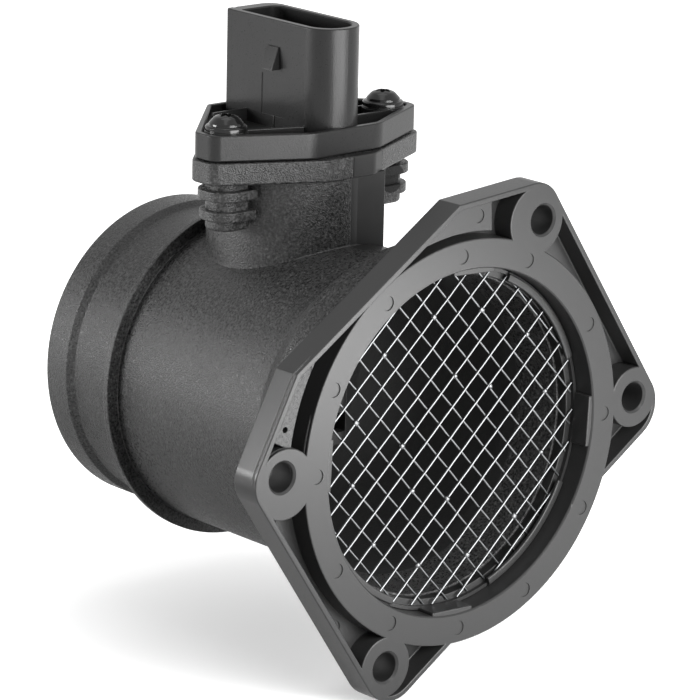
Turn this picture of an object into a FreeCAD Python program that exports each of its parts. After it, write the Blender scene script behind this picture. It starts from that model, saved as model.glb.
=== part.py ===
import FreeCAD, Part
import Sketcher
import math
import os

# Mass airflow sensor of an engine's intake, in millimetres.
# The air flows along +Y. The flange's front face is the plane y = 0 and the bore's centre is the origin.
# +Z points up to the electrical connector, and +X is to the right as seen from the front.

doc = FreeCAD.newDocument("mass_airflow_sensor")
sheet = doc.addObject("Spreadsheet::Sheet", "sheet")
rows = []


class Size:
    """A number that also carries the spreadsheet formula that makes it."""

    def __init__(self, number, text):
        self.number = number
        self.text = text

    def __add__(self, other):
        other = as_size(other)
        return Size(self.number + other.number, f"({self.text} + {other.text})")

    def __sub__(self, other):
        other = as_size(other)
        return Size(self.number - other.number, f"({self.text} - {other.text})")

    def __mul__(self, other):
        other = as_size(other)
        return Size(self.number * other.number, f"({self.text} * {other.text})")

    def __truediv__(self, other):
        other = as_size(other)
        return Size(self.number / other.number, f"({self.text} / {other.text})")

    def __neg__(self):
        return Size(-self.number, f"(0 - {self.text})")


def as_size(value):
    if isinstance(value, Size):
        return value
    return Size(float(value), f"({float(value)!r})")


def cell(alias, number):
    """Write one driving dimension in the sheet and return it."""
    rows.append(alias)
    sheet.set(f"A{len(rows)}", alias.replace("_", " "))
    sheet.set(f"B{len(rows)}", str(number))
    sheet.setAlias(f"B{len(rows)}", alias)
    return Size(float(number), f"sheet.{alias}")


def root(size):
    return Size(math.sqrt(size.number), f"sqrt({size.text})")


def sine(angle):
    return Size(math.sin(math.radians(angle.number)), f"sin({angle.text} * 1 deg)")


def cosine(angle):
    return Size(math.cos(math.radians(angle.number)), f"cos({angle.text} * 1 deg)")


def tangent(angle):
    return sine(angle) / cosine(angle)


ZERO = as_size(0)
OVERRUN = as_size(1)  # how far a cut runs past the face it leaves through

# Flow tube
bore_r = cell("bore_r", 44.5)
mouth_wall = cell("mouth_wall", 2.7)
screen_seat_y = cell("screen_seat_y", 9.9)
seat_ledge = cell("seat_ledge", 3.3)
tube_r = cell("tube_r", 41.4)
tube_wall = cell("tube_wall", 2.8)
throat_y = cell("throat_y", 26.0)
neck_down_y = cell("neck_down_y", 31.0)
neck_down_length = cell("neck_down_length", 8.0)
collar_y = cell("collar_y", 87.0)
collar_r = cell("collar_r", 44.7)
collar_width = cell("collar_width", 2.0)
hose_seat_r = cell("hose_seat_r", 39.7)
bead_r = cell("bead_r", 41.0)
bead_y = cell("bead_y", 109.3)
bead_ramp = cell("bead_ramp", 2.2)
bead_chamfer = cell("bead_chamfer", 0.8)
tube_length = cell("tube_length", 118.0)
hose_end_wall = cell("hose_end_wall", 2.6)
rear_taper = cell("rear_taper", 4.0)

# Mounting flange, drawn in a frame that is turned about the flow axis
flange_turn = cell("flange_turn", 33.7)
flange_thick = cell("flange_thick", 8.0)
flange_half_width = cell("flange_half_width", 57.3)
flange_top = cell("flange_top", 53.2)
flange_bottom = cell("flange_bottom", 42.0)
top_edge_half = cell("top_edge_half", 31.0)
shoulder_slope = cell("shoulder_slope", 29.0)
top_ear_round = cell("top_ear_round", 8.2)
bottom_ear_round = cell("bottom_ear_round", 9.3)
face_ring_r = cell("face_ring_r", 52.2)
flange_rim = cell("flange_rim", 1.5)
flange_floor = cell("flange_floor", 2.0)
land_depth = cell("land_depth", 1.2)
right_land_r = cell("right_land_r", 53.9)
right_land_end = cell("right_land_end", 40.5)
right_land_foot = cell("right_land_foot", 36.5)
left_land_r = cell("left_land_r", 56.6)
left_land_end = cell("left_land_end", 45.4)
left_land_foot = cell("left_land_foot", 42.2)
bolt_across = cell("bolt_across", 50.2)
bolt_up = cell("bolt_up", 31.1)
bolt_hole_r = cell("bolt_hole_r", 3.75)
keyed_hole_x = cell("keyed_hole_x", 59.4)
top_boss_r = cell("top_boss_r", 9.0)
top_boss_across = cell("top_boss_across", 48.5)
top_boss_up = cell("top_boss_up", 32.4)
bottom_boss_r = cell("bottom_boss_r", 8.0)

# Snap ribs inside the mouth
screen_turn = cell("screen_turn", -2.6)
rib_width = cell("rib_width", 13.4)
rib_thick = cell("rib_thick", 1.3)
rib_front = cell("rib_front", 0.4)

# Turret, pad plate and screw towers of the housing
turret_y = cell("turret_y", 67.5)
turret_r = cell("turret_r", 22.2)
turret_wall = cell("turret_wall", 2.7)
plate_bottom = cell("plate_bottom", 59.2)
plate_thick = cell("plate_thick", 5.7)
plate_front_half = cell("plate_front_half", 11.0)
plate_front_y = cell("plate_front_y", 46.2)
plate_ear_x = cell("plate_ear_x", 33.9)
plate_ear_front_y = cell("plate_ear_front_y", 57.6)
plate_ear_back_y = cell("plate_ear_back_y", 67.5)
plate_back_half = cell("plate_back_half", 10.5)
plate_back_y = cell("plate_back_y", 90.8)
plate_round = cell("plate_round", 3.0)
pad_left_x = cell("pad_left_x", 0.7)
pad_right_x = cell("pad_right_x", 11.2)
pad_front_y = cell("pad_front_y", 45.5)
pad_lug_right_x = cell("pad_lug_right_x", 8.6)
screw_x = cell("screw_x", 26.3)
screw_y = cell("screw_y", 63.0)
tower_bottom = cell("tower_bottom", 46.5)
tower_r = cell("tower_r", 4.8)
tower_inner_x = cell("tower_inner_x", 22.5)
fin_r = cell("fin_r", 6.5)
fin_inner_x = cell("fin_inner_x", 21.0)
fin_thick = cell("fin_thick", 2.5)
upper_fin_z = cell("upper_fin_z", 54.7)
lower_fin_z = cell("lower_fin_z", 49.7)
tower_web = cell("tower_web", 4.0)
pilot_floor = cell("pilot_floor", 1.5)

# Plug-in sensor body
joint_gap = cell("joint_gap", 0.25)
cap_thick = cell("cap_thick", 6.35)
cap_inset = cell("cap_inset", 0.6)
tray_depth = cell("tray_depth", 2.6)
tray_rim = cell("tray_rim", 1.7)
tray_rib = cell("tray_rib", 1.0)
front_tray_rib_y = cell("front_tray_rib_y", 58.0)
back_tray_rib_y = cell("back_tray_rib_y", 67.0)
screw_boss_r = cell("screw_boss_r", 6.0)
neck_clearance = cell("neck_clearance", 0.3)
neck_bottom = cell("neck_bottom", 38.6)
seal_z = cell("seal_z", 61.6)
seal_wire_r = cell("seal_wire_r", 1.2)
seal_groove_width = cell("seal_groove_width", 2.7)
seal_fit = cell("seal_fit", 0.02)
seal_flat = cell("seal_flat", 0.96)
shell_left_x = cell("shell_left_x", -7.3)
shell_right_x = cell("shell_right_x", 8.5)
shell_front_y = cell("shell_front_y", 47.8)
shell_back_y = cell("shell_back_y", 86.8)
shell_top = cell("shell_top", 97.2)
shell_wall = cell("shell_wall", 2.0)
shell_back_round = cell("shell_back_round", 4.5)
socket_back_y = cell("socket_back_y", 82.6)
socket_floor = cell("socket_floor", 75.0)
latch_front_y = cell("latch_front_y", 65.3)
latch_width = cell("latch_width", 4.4)
latch_bottom = cell("latch_bottom", 84.6)
latch_top = cell("latch_top", 90.4)
latch_height = cell("latch_height", 2.6)
latch_root = cell("latch_root", 0.5)
latch_edge = cell("latch_edge", 0.8)
latch_crest = cell("latch_crest", 0.4)

# Measuring blade below the neck
blade_half_x = cell("blade_half_x", 6.5)
blade_front_y = cell("blade_front_y", 50.4)
blade_back_y = cell("blade_back_y", 84.6)
blade_bottom = cell("blade_bottom", -13.0)
blade_round = cell("blade_round", 3.0)
cover_thick = cell("cover_thick", 1.5)
cover_lap = cell("cover_lap", 1.4)
cover_gap = cell("cover_gap", 0.1)
back_wall = cell("back_wall", 2.5)
room_front_y = cell("room_front_y", 58.5)
room_back_y = cell("room_back_y", 81.0)
room_bottom = cell("room_bottom", 9.5)
room_top = cell("room_top", 36.0)
channel_front_y = cell("channel_front_y", 53.4)
channel_back_y = cell("channel_back_y", 81.6)
channel_bottom = cell("channel_bottom", -10.5)
channel_top = cell("channel_top", 5.5)
divider_thick = cell("divider_thick", 1.6)
divider_z = cell("divider_z", -4.0)
divider_back_y = cell("divider_back_y", 75.0)
inlet_height = cell("inlet_height", 5.4)
outlet_length = cell("outlet_length", 7.0)
notch_bottom = cell("notch_bottom", 21.0)
notch_height = cell("notch_height", 10.0)
notch_depth = cell("notch_depth", 5.0)

# Electronics in the blade
carrier_thick = cell("carrier_thick", 1.0)
carrier_margin = cell("carrier_margin", 0.4)
tongue_y = cell("tongue_y", 67.5)
tongue_width = cell("tongue_width", 5.0)
tongue_bottom = cell("tongue_bottom", -1.6)
board_thick = cell("board_thick", 0.7)
board_margin = cell("board_margin", 1.6)
board_top_space = cell("board_top_space", 5.0)
chip_rise = cell("chip_rise", 6.0)
chip_size = cell("chip_size", 6.4)
chip_thick = cell("chip_thick", 1.1)
capacitor_length = cell("capacitor_length", 3.2)
capacitor_width = cell("capacitor_width", 1.6)
capacitor_edge = cell("capacitor_edge", 1.5)
capacitor_spacing = cell("capacitor_spacing", 14.4)
film_width = cell("film_width", 3.0)
film_height = cell("film_height", 5.0)
film_thick = cell("film_thick", 0.5)
film_rise = cell("film_rise", 0.6)
thermistor_r = cell("thermistor_r", 1.1)
thermistor_half = cell("thermistor_half", 1.5)
lead_r = cell("lead_r", 0.3)

# Connector pins
pin_count = 5
pin_pitch = cell("pin_pitch", 5.0)
pin_first_y = cell("pin_first_y", 57.2)
pin_x = cell("pin_x", 0.6)
pin_thick = cell("pin_thick", 0.8)
pin_width = cell("pin_width", 2.4)
pin_top = cell("pin_top", 88.0)
pin_bottom = cell("pin_bottom", 32.0)

# Screws
screw_r = cell("screw_r", 2.3)
screw_clearance = cell("screw_clearance", 0.4)
thread_clearance = cell("thread_clearance", 0.03)
screw_length = cell("screw_length", 21.0)
washer_r = cell("washer_r", 5.8)
washer_thick = cell("washer_thick", 1.0)
head_r = cell("head_r", 4.5)
head_height = cell("head_height", 3.3)
head_side = cell("head_side", 1.6)
head_top_r = cell("head_top_r", 2.5)
drive_r = cell("drive_r", 2.1)
drive_depth = cell("drive_depth", 1.8)

# Wire screen and the ring that holds it
screen_y = cell("screen_y", 5.9)
wire = cell("wire", 0.56)
weld_sink = cell("weld_sink", 0.06)
mesh_pitch = cell("mesh_pitch", 5.67)
mesh_shift = cell("mesh_shift", -0.66)
mesh_r = cell("mesh_r", 43.3)
wires_each_side = 7
ring_clearance = cell("ring_clearance", 0.2)
ring_inner_r = cell("ring_inner_r", 41.7)
ring_front_y = cell("ring_front_y", 4.9)
ring_notch_angle = cell("ring_notch_angle", 45.0)
wire_slot_gap = cell("wire_slot_gap", 0.1)
notch_near_r = cell("notch_near_r", 33.7)
notch_far_r = cell("notch_far_r", 48.3)

doc.recompute()


def bind(thing, path, size):
    thing.setExpression(path, as_size(size).text)


def new_body(label):
    body = doc.addObject("PartDesign::Body", label)
    body.Label = label
    return body


def new_sketch(body, name, role, lift=ZERO, turn=None):
    """A sketch on one of the body's own origin planes, lifted along the plane's normal."""
    sketch = body.newObject("Sketcher::SketchObject", name)
    plane = [item for item in body.Origin.OriginFeatures if item.Role == role][0]
    sketch.AttachmentSupport = (plane, "")
    sketch.MapMode = "FlatFace"
    if lift is not ZERO:
        bind(sketch, "AttachmentOffset.Base.z", lift)
    if turn is not None:
        up = FreeCAD.Vector(0, 0, 1)
        sketch.AttachmentOffset = FreeCAD.Placement(FreeCAD.Vector(), FreeCAD.Rotation(up, turn.number))
        bind(sketch, "AttachmentOffset.Rotation.Angle", turn)
    return sketch


def hold(sketch, kind, geometry, point, size):
    """Tie one coordinate of a sketch point to a size, measured from the sketch's origin."""
    if abs(size.number) < 1e-9:
        axis = -2 if kind == "DistanceX" else -1
        sketch.addConstraint(Sketcher.Constraint("PointOnObject", geometry, point, axis))
        return
    index = sketch.addConstraint(Sketcher.Constraint(kind, -1, 1, geometry, point, size.number))
    bind(sketch, f"Constraints[{index}]", size)


def add_loop(sketch, corners):
    """A closed outline of straight lines through corners, each a pair of sizes."""
    corners = [(as_size(x), as_size(y)) for x, y in corners]
    points = [FreeCAD.Vector(x.number, y.number, 0) for x, y in corners]
    first = sketch.GeometryCount
    count = len(points)
    for i in range(count):
        sketch.addGeometry(Part.LineSegment(points[i], points[(i + 1) % count]), False)
    for i in range(count):
        after = first + (i + 1) % count
        sketch.addConstraint(Sketcher.Constraint("Coincident", first + i, 2, after, 1))
    for i, (x, y) in enumerate(corners):
        hold(sketch, "DistanceX", first + i, 1, x)
        hold(sketch, "DistanceY", first + i, 1, y)


def add_rectangle(sketch, left, right, low, high):
    add_loop(sketch, [(left, low), (right, low), (right, high), (left, high)])


def add_circle(sketch, radius, x=ZERO, y=ZERO):
    """A circle whose centre and radius are tied to sizes."""
    x = as_size(x)
    y = as_size(y)
    radius = as_size(radius)
    centre = FreeCAD.Vector(x.number, y.number, 0)
    up = FreeCAD.Vector(0, 0, 1)
    index = sketch.addGeometry(Part.Circle(centre, up, radius.number), False)
    hold(sketch, "DistanceX", index, 3, x)
    hold(sketch, "DistanceY", index, 3, y)
    rule = sketch.addConstraint(Sketcher.Constraint("Radius", index, radius.number))
    bind(sketch, f"Constraints[{rule}]", radius)


def pad(body, sketch, name, length, reverse=False):
    feature = body.newObject("PartDesign::Pad", name)
    feature.Profile = sketch
    bind(feature, "Length", length)
    feature.Reversed = reverse
    sketch.Visibility = False
    doc.recompute()
    return feature


def pocket(body, sketch, name, length, reverse=False):
    """Cut a sketch into the body, against its plane's normal unless reverse is set."""
    before = body.Shape.Volume
    feature = body.newObject("PartDesign::Pocket", name)
    feature.Profile = sketch
    bind(feature, "Length", length)
    feature.Reversed = reverse
    doc.recompute()
    check_cut(name, before, body.Shape.Volume)
    return feature


def check_cut(name, before, after):
    if after > before - 1e-6:
        raise RuntimeError(f"{name} removes nothing")


def revolve(body, sketch, name, cut=False, axis="H_Axis"):
    """Turn a profile once round one of the sketch's own axes."""
    before = body.Shape.Volume if cut else 0.0
    feature = body.newObject("PartDesign::Groove" if cut else "PartDesign::Revolution", name)
    feature.Profile = sketch
    feature.ReferenceAxis = (sketch, [axis])
    feature.Angle = 360.0
    doc.recompute()
    if cut:
        check_cut(name, before, body.Shape.Volume)
    return feature


def straight_edges(feature, axis, places, tolerance=0.05):
    """Names of the straight edges along an axis (0, 1 or 2) whose middle lies at one of the places."""
    names = []
    for number, edge in enumerate(feature.Shape.Edges, start=1):
        if len(edge.Vertexes) != 2:
            continue
        a = edge.Vertexes[0].Point
        b = edge.Vertexes[1].Point
        run = b - a
        if run.Length < 0.5 or abs(run[axis]) < 0.999 * run.Length:
            continue
        across = [i for i in range(3) if i != axis]
        for place in places:
            if all(abs(a[i] - place[k]) < tolerance for k, i in enumerate(across)):
                names.append(f"Edge{number}")
    return names


def fillet_edges(body, feature, name, names, radius):
    if not names:
        raise RuntimeError(f"{name} finds no edge")
    rounding = body.newObject("PartDesign::Fillet", name)
    rounding.Base = (feature, names)
    bind(rounding, "Radius", radius)
    doc.recompute()
    return rounding


def turned(across, up, angle):
    """Places (x, z) of a point given in the flange's turned frame."""
    x = across * cosine(angle) - up * sine(angle)
    z = across * sine(angle) + up * cosine(angle)
    return x, z


# Places that several pieces share
plate_top = plate_bottom + plate_thick
cap_bottom = plate_top + joint_gap
cap_top = cap_bottom + cap_thick
turret_bore_r = turret_r - turret_wall
neck_r = turret_bore_r - neck_clearance
right_bolt = turned(bolt_across, -bolt_up, flange_turn)
upper_bolt = turned(bolt_across, bolt_up, flange_turn)
lower_bolt = turned(-bolt_across, -bolt_up, flange_turn)
keyed_bolt = (-keyed_hole_x, right_bolt[1])
bolt_places = [upper_bolt, right_bolt, keyed_bolt, lower_bolt]
ring_outer_r = bore_r - ring_clearance
screen_back_y = screen_y + wire * 2 - weld_sink
cover_face_x = blade_half_x
cover_back_x = blade_half_x - cover_thick
room_back_x = back_wall - blade_half_x


def flange_outline(inset):
    """Corners of the flange's outline in its turned frame, moved inwards by inset."""
    half_turn = shoulder_slope / 2
    top = flange_top - inset
    side = flange_half_width - inset
    corner = top_edge_half - inset * tangent(half_turn)
    shoulder = top - (side - corner) * tangent(shoulder_slope)
    bottom = inset - flange_bottom
    return [(-corner, top), (corner, top), (side, shoulder), (side, bottom),
            (-side, bottom), (-side, shoulder)]


def corner_places(outline, picks, angle):
    places = []
    for pick in picks:
        x, z = turned(outline[pick][0], outline[pick][1], angle)
        places.append((x.number, z.number))
    return places


def land_outline(side, inner_r, end_across, foot_across):
    """Raised floor beside a top corner. Side is 1 for the right-hand corner and -1 for the left."""
    outline = flange_outline(flange_rim)
    top = outline[1][1]
    corner = outline[1][0]
    start_across = root(inner_r * inner_r - top * top)
    end_up = top - (end_across - corner) * tangent(shoulder_slope)
    foot_up = root(inner_r * inner_r - foot_across * foot_across)
    middle_across = (start_across + foot_across) / 2
    middle_up = root(inner_r * inner_r - middle_across * middle_across)
    return [(start_across * side, top), (corner * side, top), (end_across * side, end_up),
            (foot_across * side, foot_up), (middle_across * side, middle_up)]


def build_flow_housing():
    """Tube, flange, turret, pad plate and screw towers, moulded as one piece."""
    body = new_body("flow_housing")

    outline = flange_outline(ZERO)
    sketch = new_sketch(body, "flange_outline", "XZ_Plane", turn=flange_turn)
    add_loop(sketch, outline)
    pad(body, sketch, "flange_plate", flange_thick, reverse=True)

    pocket_depth = flange_thick - flange_floor
    sketch = new_sketch(body, "pocket_outline", "XZ_Plane", turn=flange_turn)
    inner = flange_outline(flange_rim)
    add_loop(sketch, inner)
    pocket(body, sketch, "flange_pockets", pocket_depth)
    round_ears(body, "pocket", inner, top_ear_round - flange_rim, bottom_ear_round - flange_rim)
    round_ears(body, "plate", outline, top_ear_round, bottom_ear_round)

    land_height = pocket_depth - land_depth
    for name, side, inner_r, end, foot in (("right_land", 1, right_land_r, right_land_end, right_land_foot),
                                           ("left_land", -1, left_land_r, left_land_end, left_land_foot)):
        sketch = new_sketch(body, name + "_outline", "XZ_Plane", lift=-pocket_depth, turn=flange_turn)
        add_loop(sketch, land_outline(side, inner_r, end, foot))
        pad(body, sketch, name, land_height)

    sketch = new_sketch(body, "face_ring_outline", "XZ_Plane")
    add_circle(sketch, face_ring_r)
    pad(body, sketch, "face_ring", flange_thick, reverse=True)

    for name, side in (("right_top_boss", 1), ("left_top_boss", -1)):
        sketch = new_sketch(body, name + "_outline", "XZ_Plane")
        x, z = turned(top_boss_across * side, top_boss_up, flange_turn)
        add_circle(sketch, top_boss_r, x, z)
        pad(body, sketch, name, flange_thick, reverse=True)
    for name, place in (("right_bottom_boss", right_bolt), ("left_bottom_boss", lower_bolt)):
        sketch = new_sketch(body, name + "_outline", "XZ_Plane")
        add_circle(sketch, bottom_boss_r, place[0], place[1])
        pad(body, sketch, name, flange_thick, reverse=True)

    sketch = new_sketch(body, "tube_profile", "YZ_Plane")
    mouth_r = bore_r + mouth_wall
    add_loop(sketch, [
        (ZERO, ZERO), (ZERO, mouth_r), (neck_down_y - neck_down_length, mouth_r), (neck_down_y, tube_r),
        (collar_y, tube_r), (collar_y, collar_r), (collar_y + collar_width, collar_r),
        (collar_y + collar_width, hose_seat_r), (bead_y - bead_ramp, hose_seat_r), (bead_y, bead_r),
        (tube_length - bead_chamfer, bead_r), (tube_length, bead_r - bead_chamfer), (tube_length, ZERO)])
    revolve(body, sketch, "tube")

    sketch = new_sketch(body, "turret_outline", "XY_Plane")
    add_circle(sketch, turret_r, ZERO, turret_y)
    pad(body, sketch, "turret", plate_bottom)

    sketch = new_sketch(body, "pad_outline", "XY_Plane")
    add_rectangle(sketch, pad_left_x, pad_right_x, pad_front_y, turret_y)
    pad(body, sketch, "front_panel", plate_bottom)

    sketch = new_sketch(body, "plate_outline", "XY_Plane", lift=plate_bottom)
    corners = cap_outline(ZERO)
    add_loop(sketch, corners)
    feature = pad(body, sketch, "pad_plate", plate_thick)
    places = [(corners[i][0].number, corners[i][1].number) for i in (1, 2, 5, 6)]
    feature = fillet_edges(body, feature, "plate_corners", straight_edges(feature, 2, places), plate_round)

    sketch = new_sketch(body, "lug_outline", "XY_Plane", lift=plate_bottom)
    add_rectangle(sketch, pad_left_x, pad_lug_right_x, pad_front_y, turret_y)
    pad(body, sketch, "plate_lug", plate_thick)

    for name, side in (("left", -1), ("right", 1)):
        build_tower(body, name, side)

    tube_bore_r = tube_r - tube_wall
    hose_bore_r = hose_seat_r - hose_end_wall
    seat_r = bore_r - seat_ledge
    past_end = tube_length + OVERRUN
    sketch = new_sketch(body, "bore_profile", "YZ_Plane")
    add_loop(sketch, [
        (-OVERRUN, ZERO), (-OVERRUN, bore_r), (screen_seat_y, bore_r), (screen_seat_y, seat_r),
        (throat_y, tube_bore_r), (collar_y - rear_taper, tube_bore_r), (collar_y, hose_bore_r),
        (past_end, hose_bore_r), (past_end, ZERO)])
    revolve(body, sketch, "bore", cut=True)

    sketch = new_sketch(body, "sensor_hole_outline", "XY_Plane")
    add_circle(sketch, turret_bore_r, ZERO, turret_y)
    pocket(body, sketch, "sensor_hole", plate_top + OVERRUN, reverse=True)

    sketch = new_sketch(body, "screw_hole_outline", "XY_Plane", lift=tower_bottom + pilot_floor)
    for side in (-1, 1):
        add_circle(sketch, screw_r + thread_clearance, screw_x * side, screw_y)
    pocket(body, sketch, "screw_holes", plate_top - tower_bottom, reverse=True)

    for number, place in enumerate(bolt_places, start=1):
        sketch = new_sketch(body, f"bolt_hole_{number}_outline", "XZ_Plane")
        add_circle(sketch, bolt_hole_r, place[0], place[1])
        pocket(body, sketch, f"bolt_hole_{number}", flange_thick)
    add_snap_ribs(body)
    return body


def round_ears(body, name, outline, top_round, bottom_round):
    """Round the four corners of the flange that carry the bolt holes."""
    for part, picks, radius in (("top", (2, 5), top_round), ("bottom", (3, 4), bottom_round)):
        names = straight_edges(body.Tip, 1, corner_places(outline, picks, flange_turn))
        fillet_edges(body, body.Tip, f"{name}_{part}_ears", names, radius)


def cap_outline(inset):
    """Eight corners that the pad plate and the sensor's cap flange share, moved inwards by inset."""
    return [
        (-plate_front_half, plate_front_y + inset), (inset - plate_ear_x, plate_ear_front_y + inset),
        (inset - plate_ear_x, plate_ear_back_y - inset / 2), (-plate_back_half, plate_back_y - inset),
        (plate_back_half, plate_back_y - inset), (plate_ear_x - inset, plate_ear_back_y - inset / 2),
        (plate_ear_x - inset, plate_ear_front_y + inset), (plate_front_half, plate_front_y + inset)]


def build_tower(body, name, side):
    """A screw tower beside the turret: core, two rib collars and a web to the turret."""
    height = plate_bottom - tower_bottom
    levels = [("core", tower_bottom, height, tower_r, tower_inner_x),
              ("lower_fin", lower_fin_z, fin_thick, fin_r, fin_inner_x),
              ("upper_fin", upper_fin_z, fin_thick, fin_r, fin_inner_x)]
    for part, z, thick, radius, inner_x in levels:
        sketch = new_sketch(body, f"{name}_{part}_round_outline", "XY_Plane", lift=z)
        add_circle(sketch, radius, screw_x * side, screw_y)
        pad(body, sketch, f"{name}_{part}_round", thick)
        sketch = new_sketch(body, f"{name}_{part}_flat_outline", "XY_Plane", lift=z)
        near = min(inner_x.number * side, screw_x.number * side)
        left = inner_x * side if near == inner_x.number * side else screw_x * side
        right = screw_x * side if near == inner_x.number * side else inner_x * side
        add_rectangle(sketch, left, right, screw_y - radius, screw_y + radius)
        pad(body, sketch, f"{name}_{part}_flat", thick)
    sketch = new_sketch(body, f"{name}_web_outline", "XY_Plane", lift=tower_bottom)
    reach = (turret_bore_r + OVERRUN) * side
    left, right = (reach, screw_x * side) if side > 0 else (screw_x * side, reach)
    add_rectangle(sketch, left, right, screw_y, screw_y + tower_web)
    pad(body, sketch, f"{name}_web", height)


def add_snap_ribs(body):
    """Four ribs in the mouth, in front of the screen's ring, that stop it from turning and coming out."""
    inner_r = bore_r - rib_thick
    half = rib_width / 2
    length = screen_y - rib_front
    for number in range(4):
        angle = screen_turn + 90 * number
        sketch = new_sketch(body, f"snap_rib_{number + 1}_outline", "XZ_Plane", lift=-rib_front, turn=angle)
        reach = bore_r + mouth_wall / 2
        add_rectangle(sketch, inner_r, reach, -half, half)
        pad(body, sketch, f"snap_rib_{number + 1}", length, reverse=True)


def shell_pieces(inset, back_y):
    """The connector's outline moved inwards by inset: a half-round front end and a straight-sided box."""
    middle_x = (shell_left_x + shell_right_x) / 2
    end_r = (shell_right_x - shell_left_x) / 2
    middle_y = shell_front_y + end_r
    left = shell_left_x + inset
    right = shell_right_x - inset
    return (end_r - inset, middle_x, middle_y), (left, right, middle_y, back_y)


def build_sensor_body():
    """Cap flange, connector shell, neck and blade of the plug-in sensor, moulded as one piece."""
    body = new_body("sensor_body")

    sketch = new_sketch(body, "cap_outline", "XY_Plane", lift=cap_bottom)
    corners = cap_outline(cap_inset)
    add_loop(sketch, corners)
    feature = pad(body, sketch, "cap_flange", cap_thick)
    places = [(corners[i][0].number, corners[i][1].number) for i in (1, 2, 5, 6)]
    fillet_edges(body, feature, "cap_corners", straight_edges(feature, 2, places), plate_round)

    sketch = new_sketch(body, "tray_outline", "XY_Plane", lift=cap_top)
    add_loop(sketch, cap_outline(cap_inset + tray_rim))
    pocket(body, sketch, "tray", tray_depth)

    sketch = new_sketch(body, "screw_boss_outline", "XY_Plane", lift=cap_bottom + cap_thick / 2)
    for side in (-1, 1):
        add_circle(sketch, screw_boss_r, screw_x * side, screw_y)
    pad(body, sketch, "screw_bosses", cap_thick / 2)

    tray_floor = cap_top - tray_depth
    for name, low in (("front_tray_rib", front_tray_rib_y), ("back_tray_rib", back_tray_rib_y)):
        sketch = new_sketch(body, name + "_outline", "XY_Plane", lift=tray_floor)
        add_rectangle(sketch, -screw_x, screw_x, low, low + tray_rib)
        pad(body, sketch, name, tray_depth)

    sketch = new_sketch(body, "neck_profile", "XY_Plane", lift=neck_bottom)
    add_circle(sketch, neck_r, ZERO, turret_y)
    pad(body, sketch, "neck", cap_bottom - neck_bottom)

    groove_r = turret_bore_r - seal_wire_r * 2
    sketch = new_sketch(body, "seal_groove_outline", "XY_Plane", lift=seal_z - seal_groove_width / 2)
    add_circle(sketch, neck_r + OVERRUN, ZERO, turret_y)
    add_circle(sketch, groove_r, ZERO, turret_y)
    pocket(body, sketch, "seal_groove", seal_groove_width, reverse=True)

    sketch = new_sketch(body, "blade_outline", "XY_Plane", lift=blade_bottom)
    add_rectangle(sketch, -blade_half_x, blade_half_x, blade_front_y, blade_back_y)
    feature = pad(body, sketch, "blade", neck_bottom - blade_bottom)
    half = blade_half_x.number
    places = [(x, y) for x in (-half, half) for y in (blade_front_y.number, blade_back_y.number)]
    fillet_edges(body, feature, "blade_edges", straight_edges(feature, 2, places), blade_round)

    front, sides = shell_pieces(ZERO, shell_back_y)
    sketch = new_sketch(body, "shell_front_outline", "XY_Plane", lift=tray_floor)
    add_circle(sketch, *front)
    pad(body, sketch, "shell_front", shell_top - tray_floor)
    sketch = new_sketch(body, "shell_sides_outline", "XY_Plane", lift=tray_floor)
    add_rectangle(sketch, *sides)
    feature = pad(body, sketch, "shell_sides", shell_top - tray_floor)
    names = straight_edges(feature, 2, [(shell_right_x.number, shell_back_y.number)])
    fillet_edges(body, feature, "shell_back", names, shell_back_round)

    front, sides = shell_pieces(shell_wall, socket_back_y)
    sketch = new_sketch(body, "socket_front_outline", "XY_Plane", lift=shell_top)
    add_circle(sketch, *front)
    pocket(body, sketch, "socket_front", shell_top - socket_floor)
    sketch = new_sketch(body, "socket_sides_outline", "XY_Plane", lift=shell_top)
    add_rectangle(sketch, *sides)
    pocket(body, sketch, "socket_sides", shell_top - socket_floor)
    places = [(x.number, socket_back_y.number) for x in sides[:2]]
    names = straight_edges(body.Tip, 2, places)
    fillet_edges(body, body.Tip, "socket_back", names, shell_back_round - shell_wall)

    add_latch(body)
    add_blade_rooms(body)

    sketch = new_sketch(body, "pin_slot_outline", "XY_Plane", lift=socket_floor + OVERRUN)
    for number in range(pin_count):
        middle = pin_first_y + pin_pitch * number
        add_rectangle(sketch, pin_x - pin_thick / 2, pin_x + pin_thick / 2,
                      middle - pin_width / 2, middle + pin_width / 2)
    pocket(body, sketch, "pin_slots", socket_floor + OVERRUN - pin_bottom)

    sketch = new_sketch(body, "cap_hole_outline", "XY_Plane", lift=cap_top)
    for side in (-1, 1):
        add_circle(sketch, screw_r + screw_clearance, screw_x * side, screw_y)
    pocket(body, sketch, "cap_holes", cap_thick)
    return body


def add_latch(body):
    """The wedge on the shell's left side that the harness plug clips over."""
    sketch = new_sketch(body, "latch_profile", "XZ_Plane", lift=-latch_front_y)
    tip_x = shell_left_x - latch_height
    root_x = shell_left_x + latch_root
    add_loop(sketch, [(root_x, latch_bottom), (tip_x, latch_bottom), (tip_x, latch_bottom + latch_edge),
                      (shell_left_x - latch_crest, latch_top), (root_x, latch_top)])
    pad(body, sketch, "latch", latch_width, reverse=True)


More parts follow.
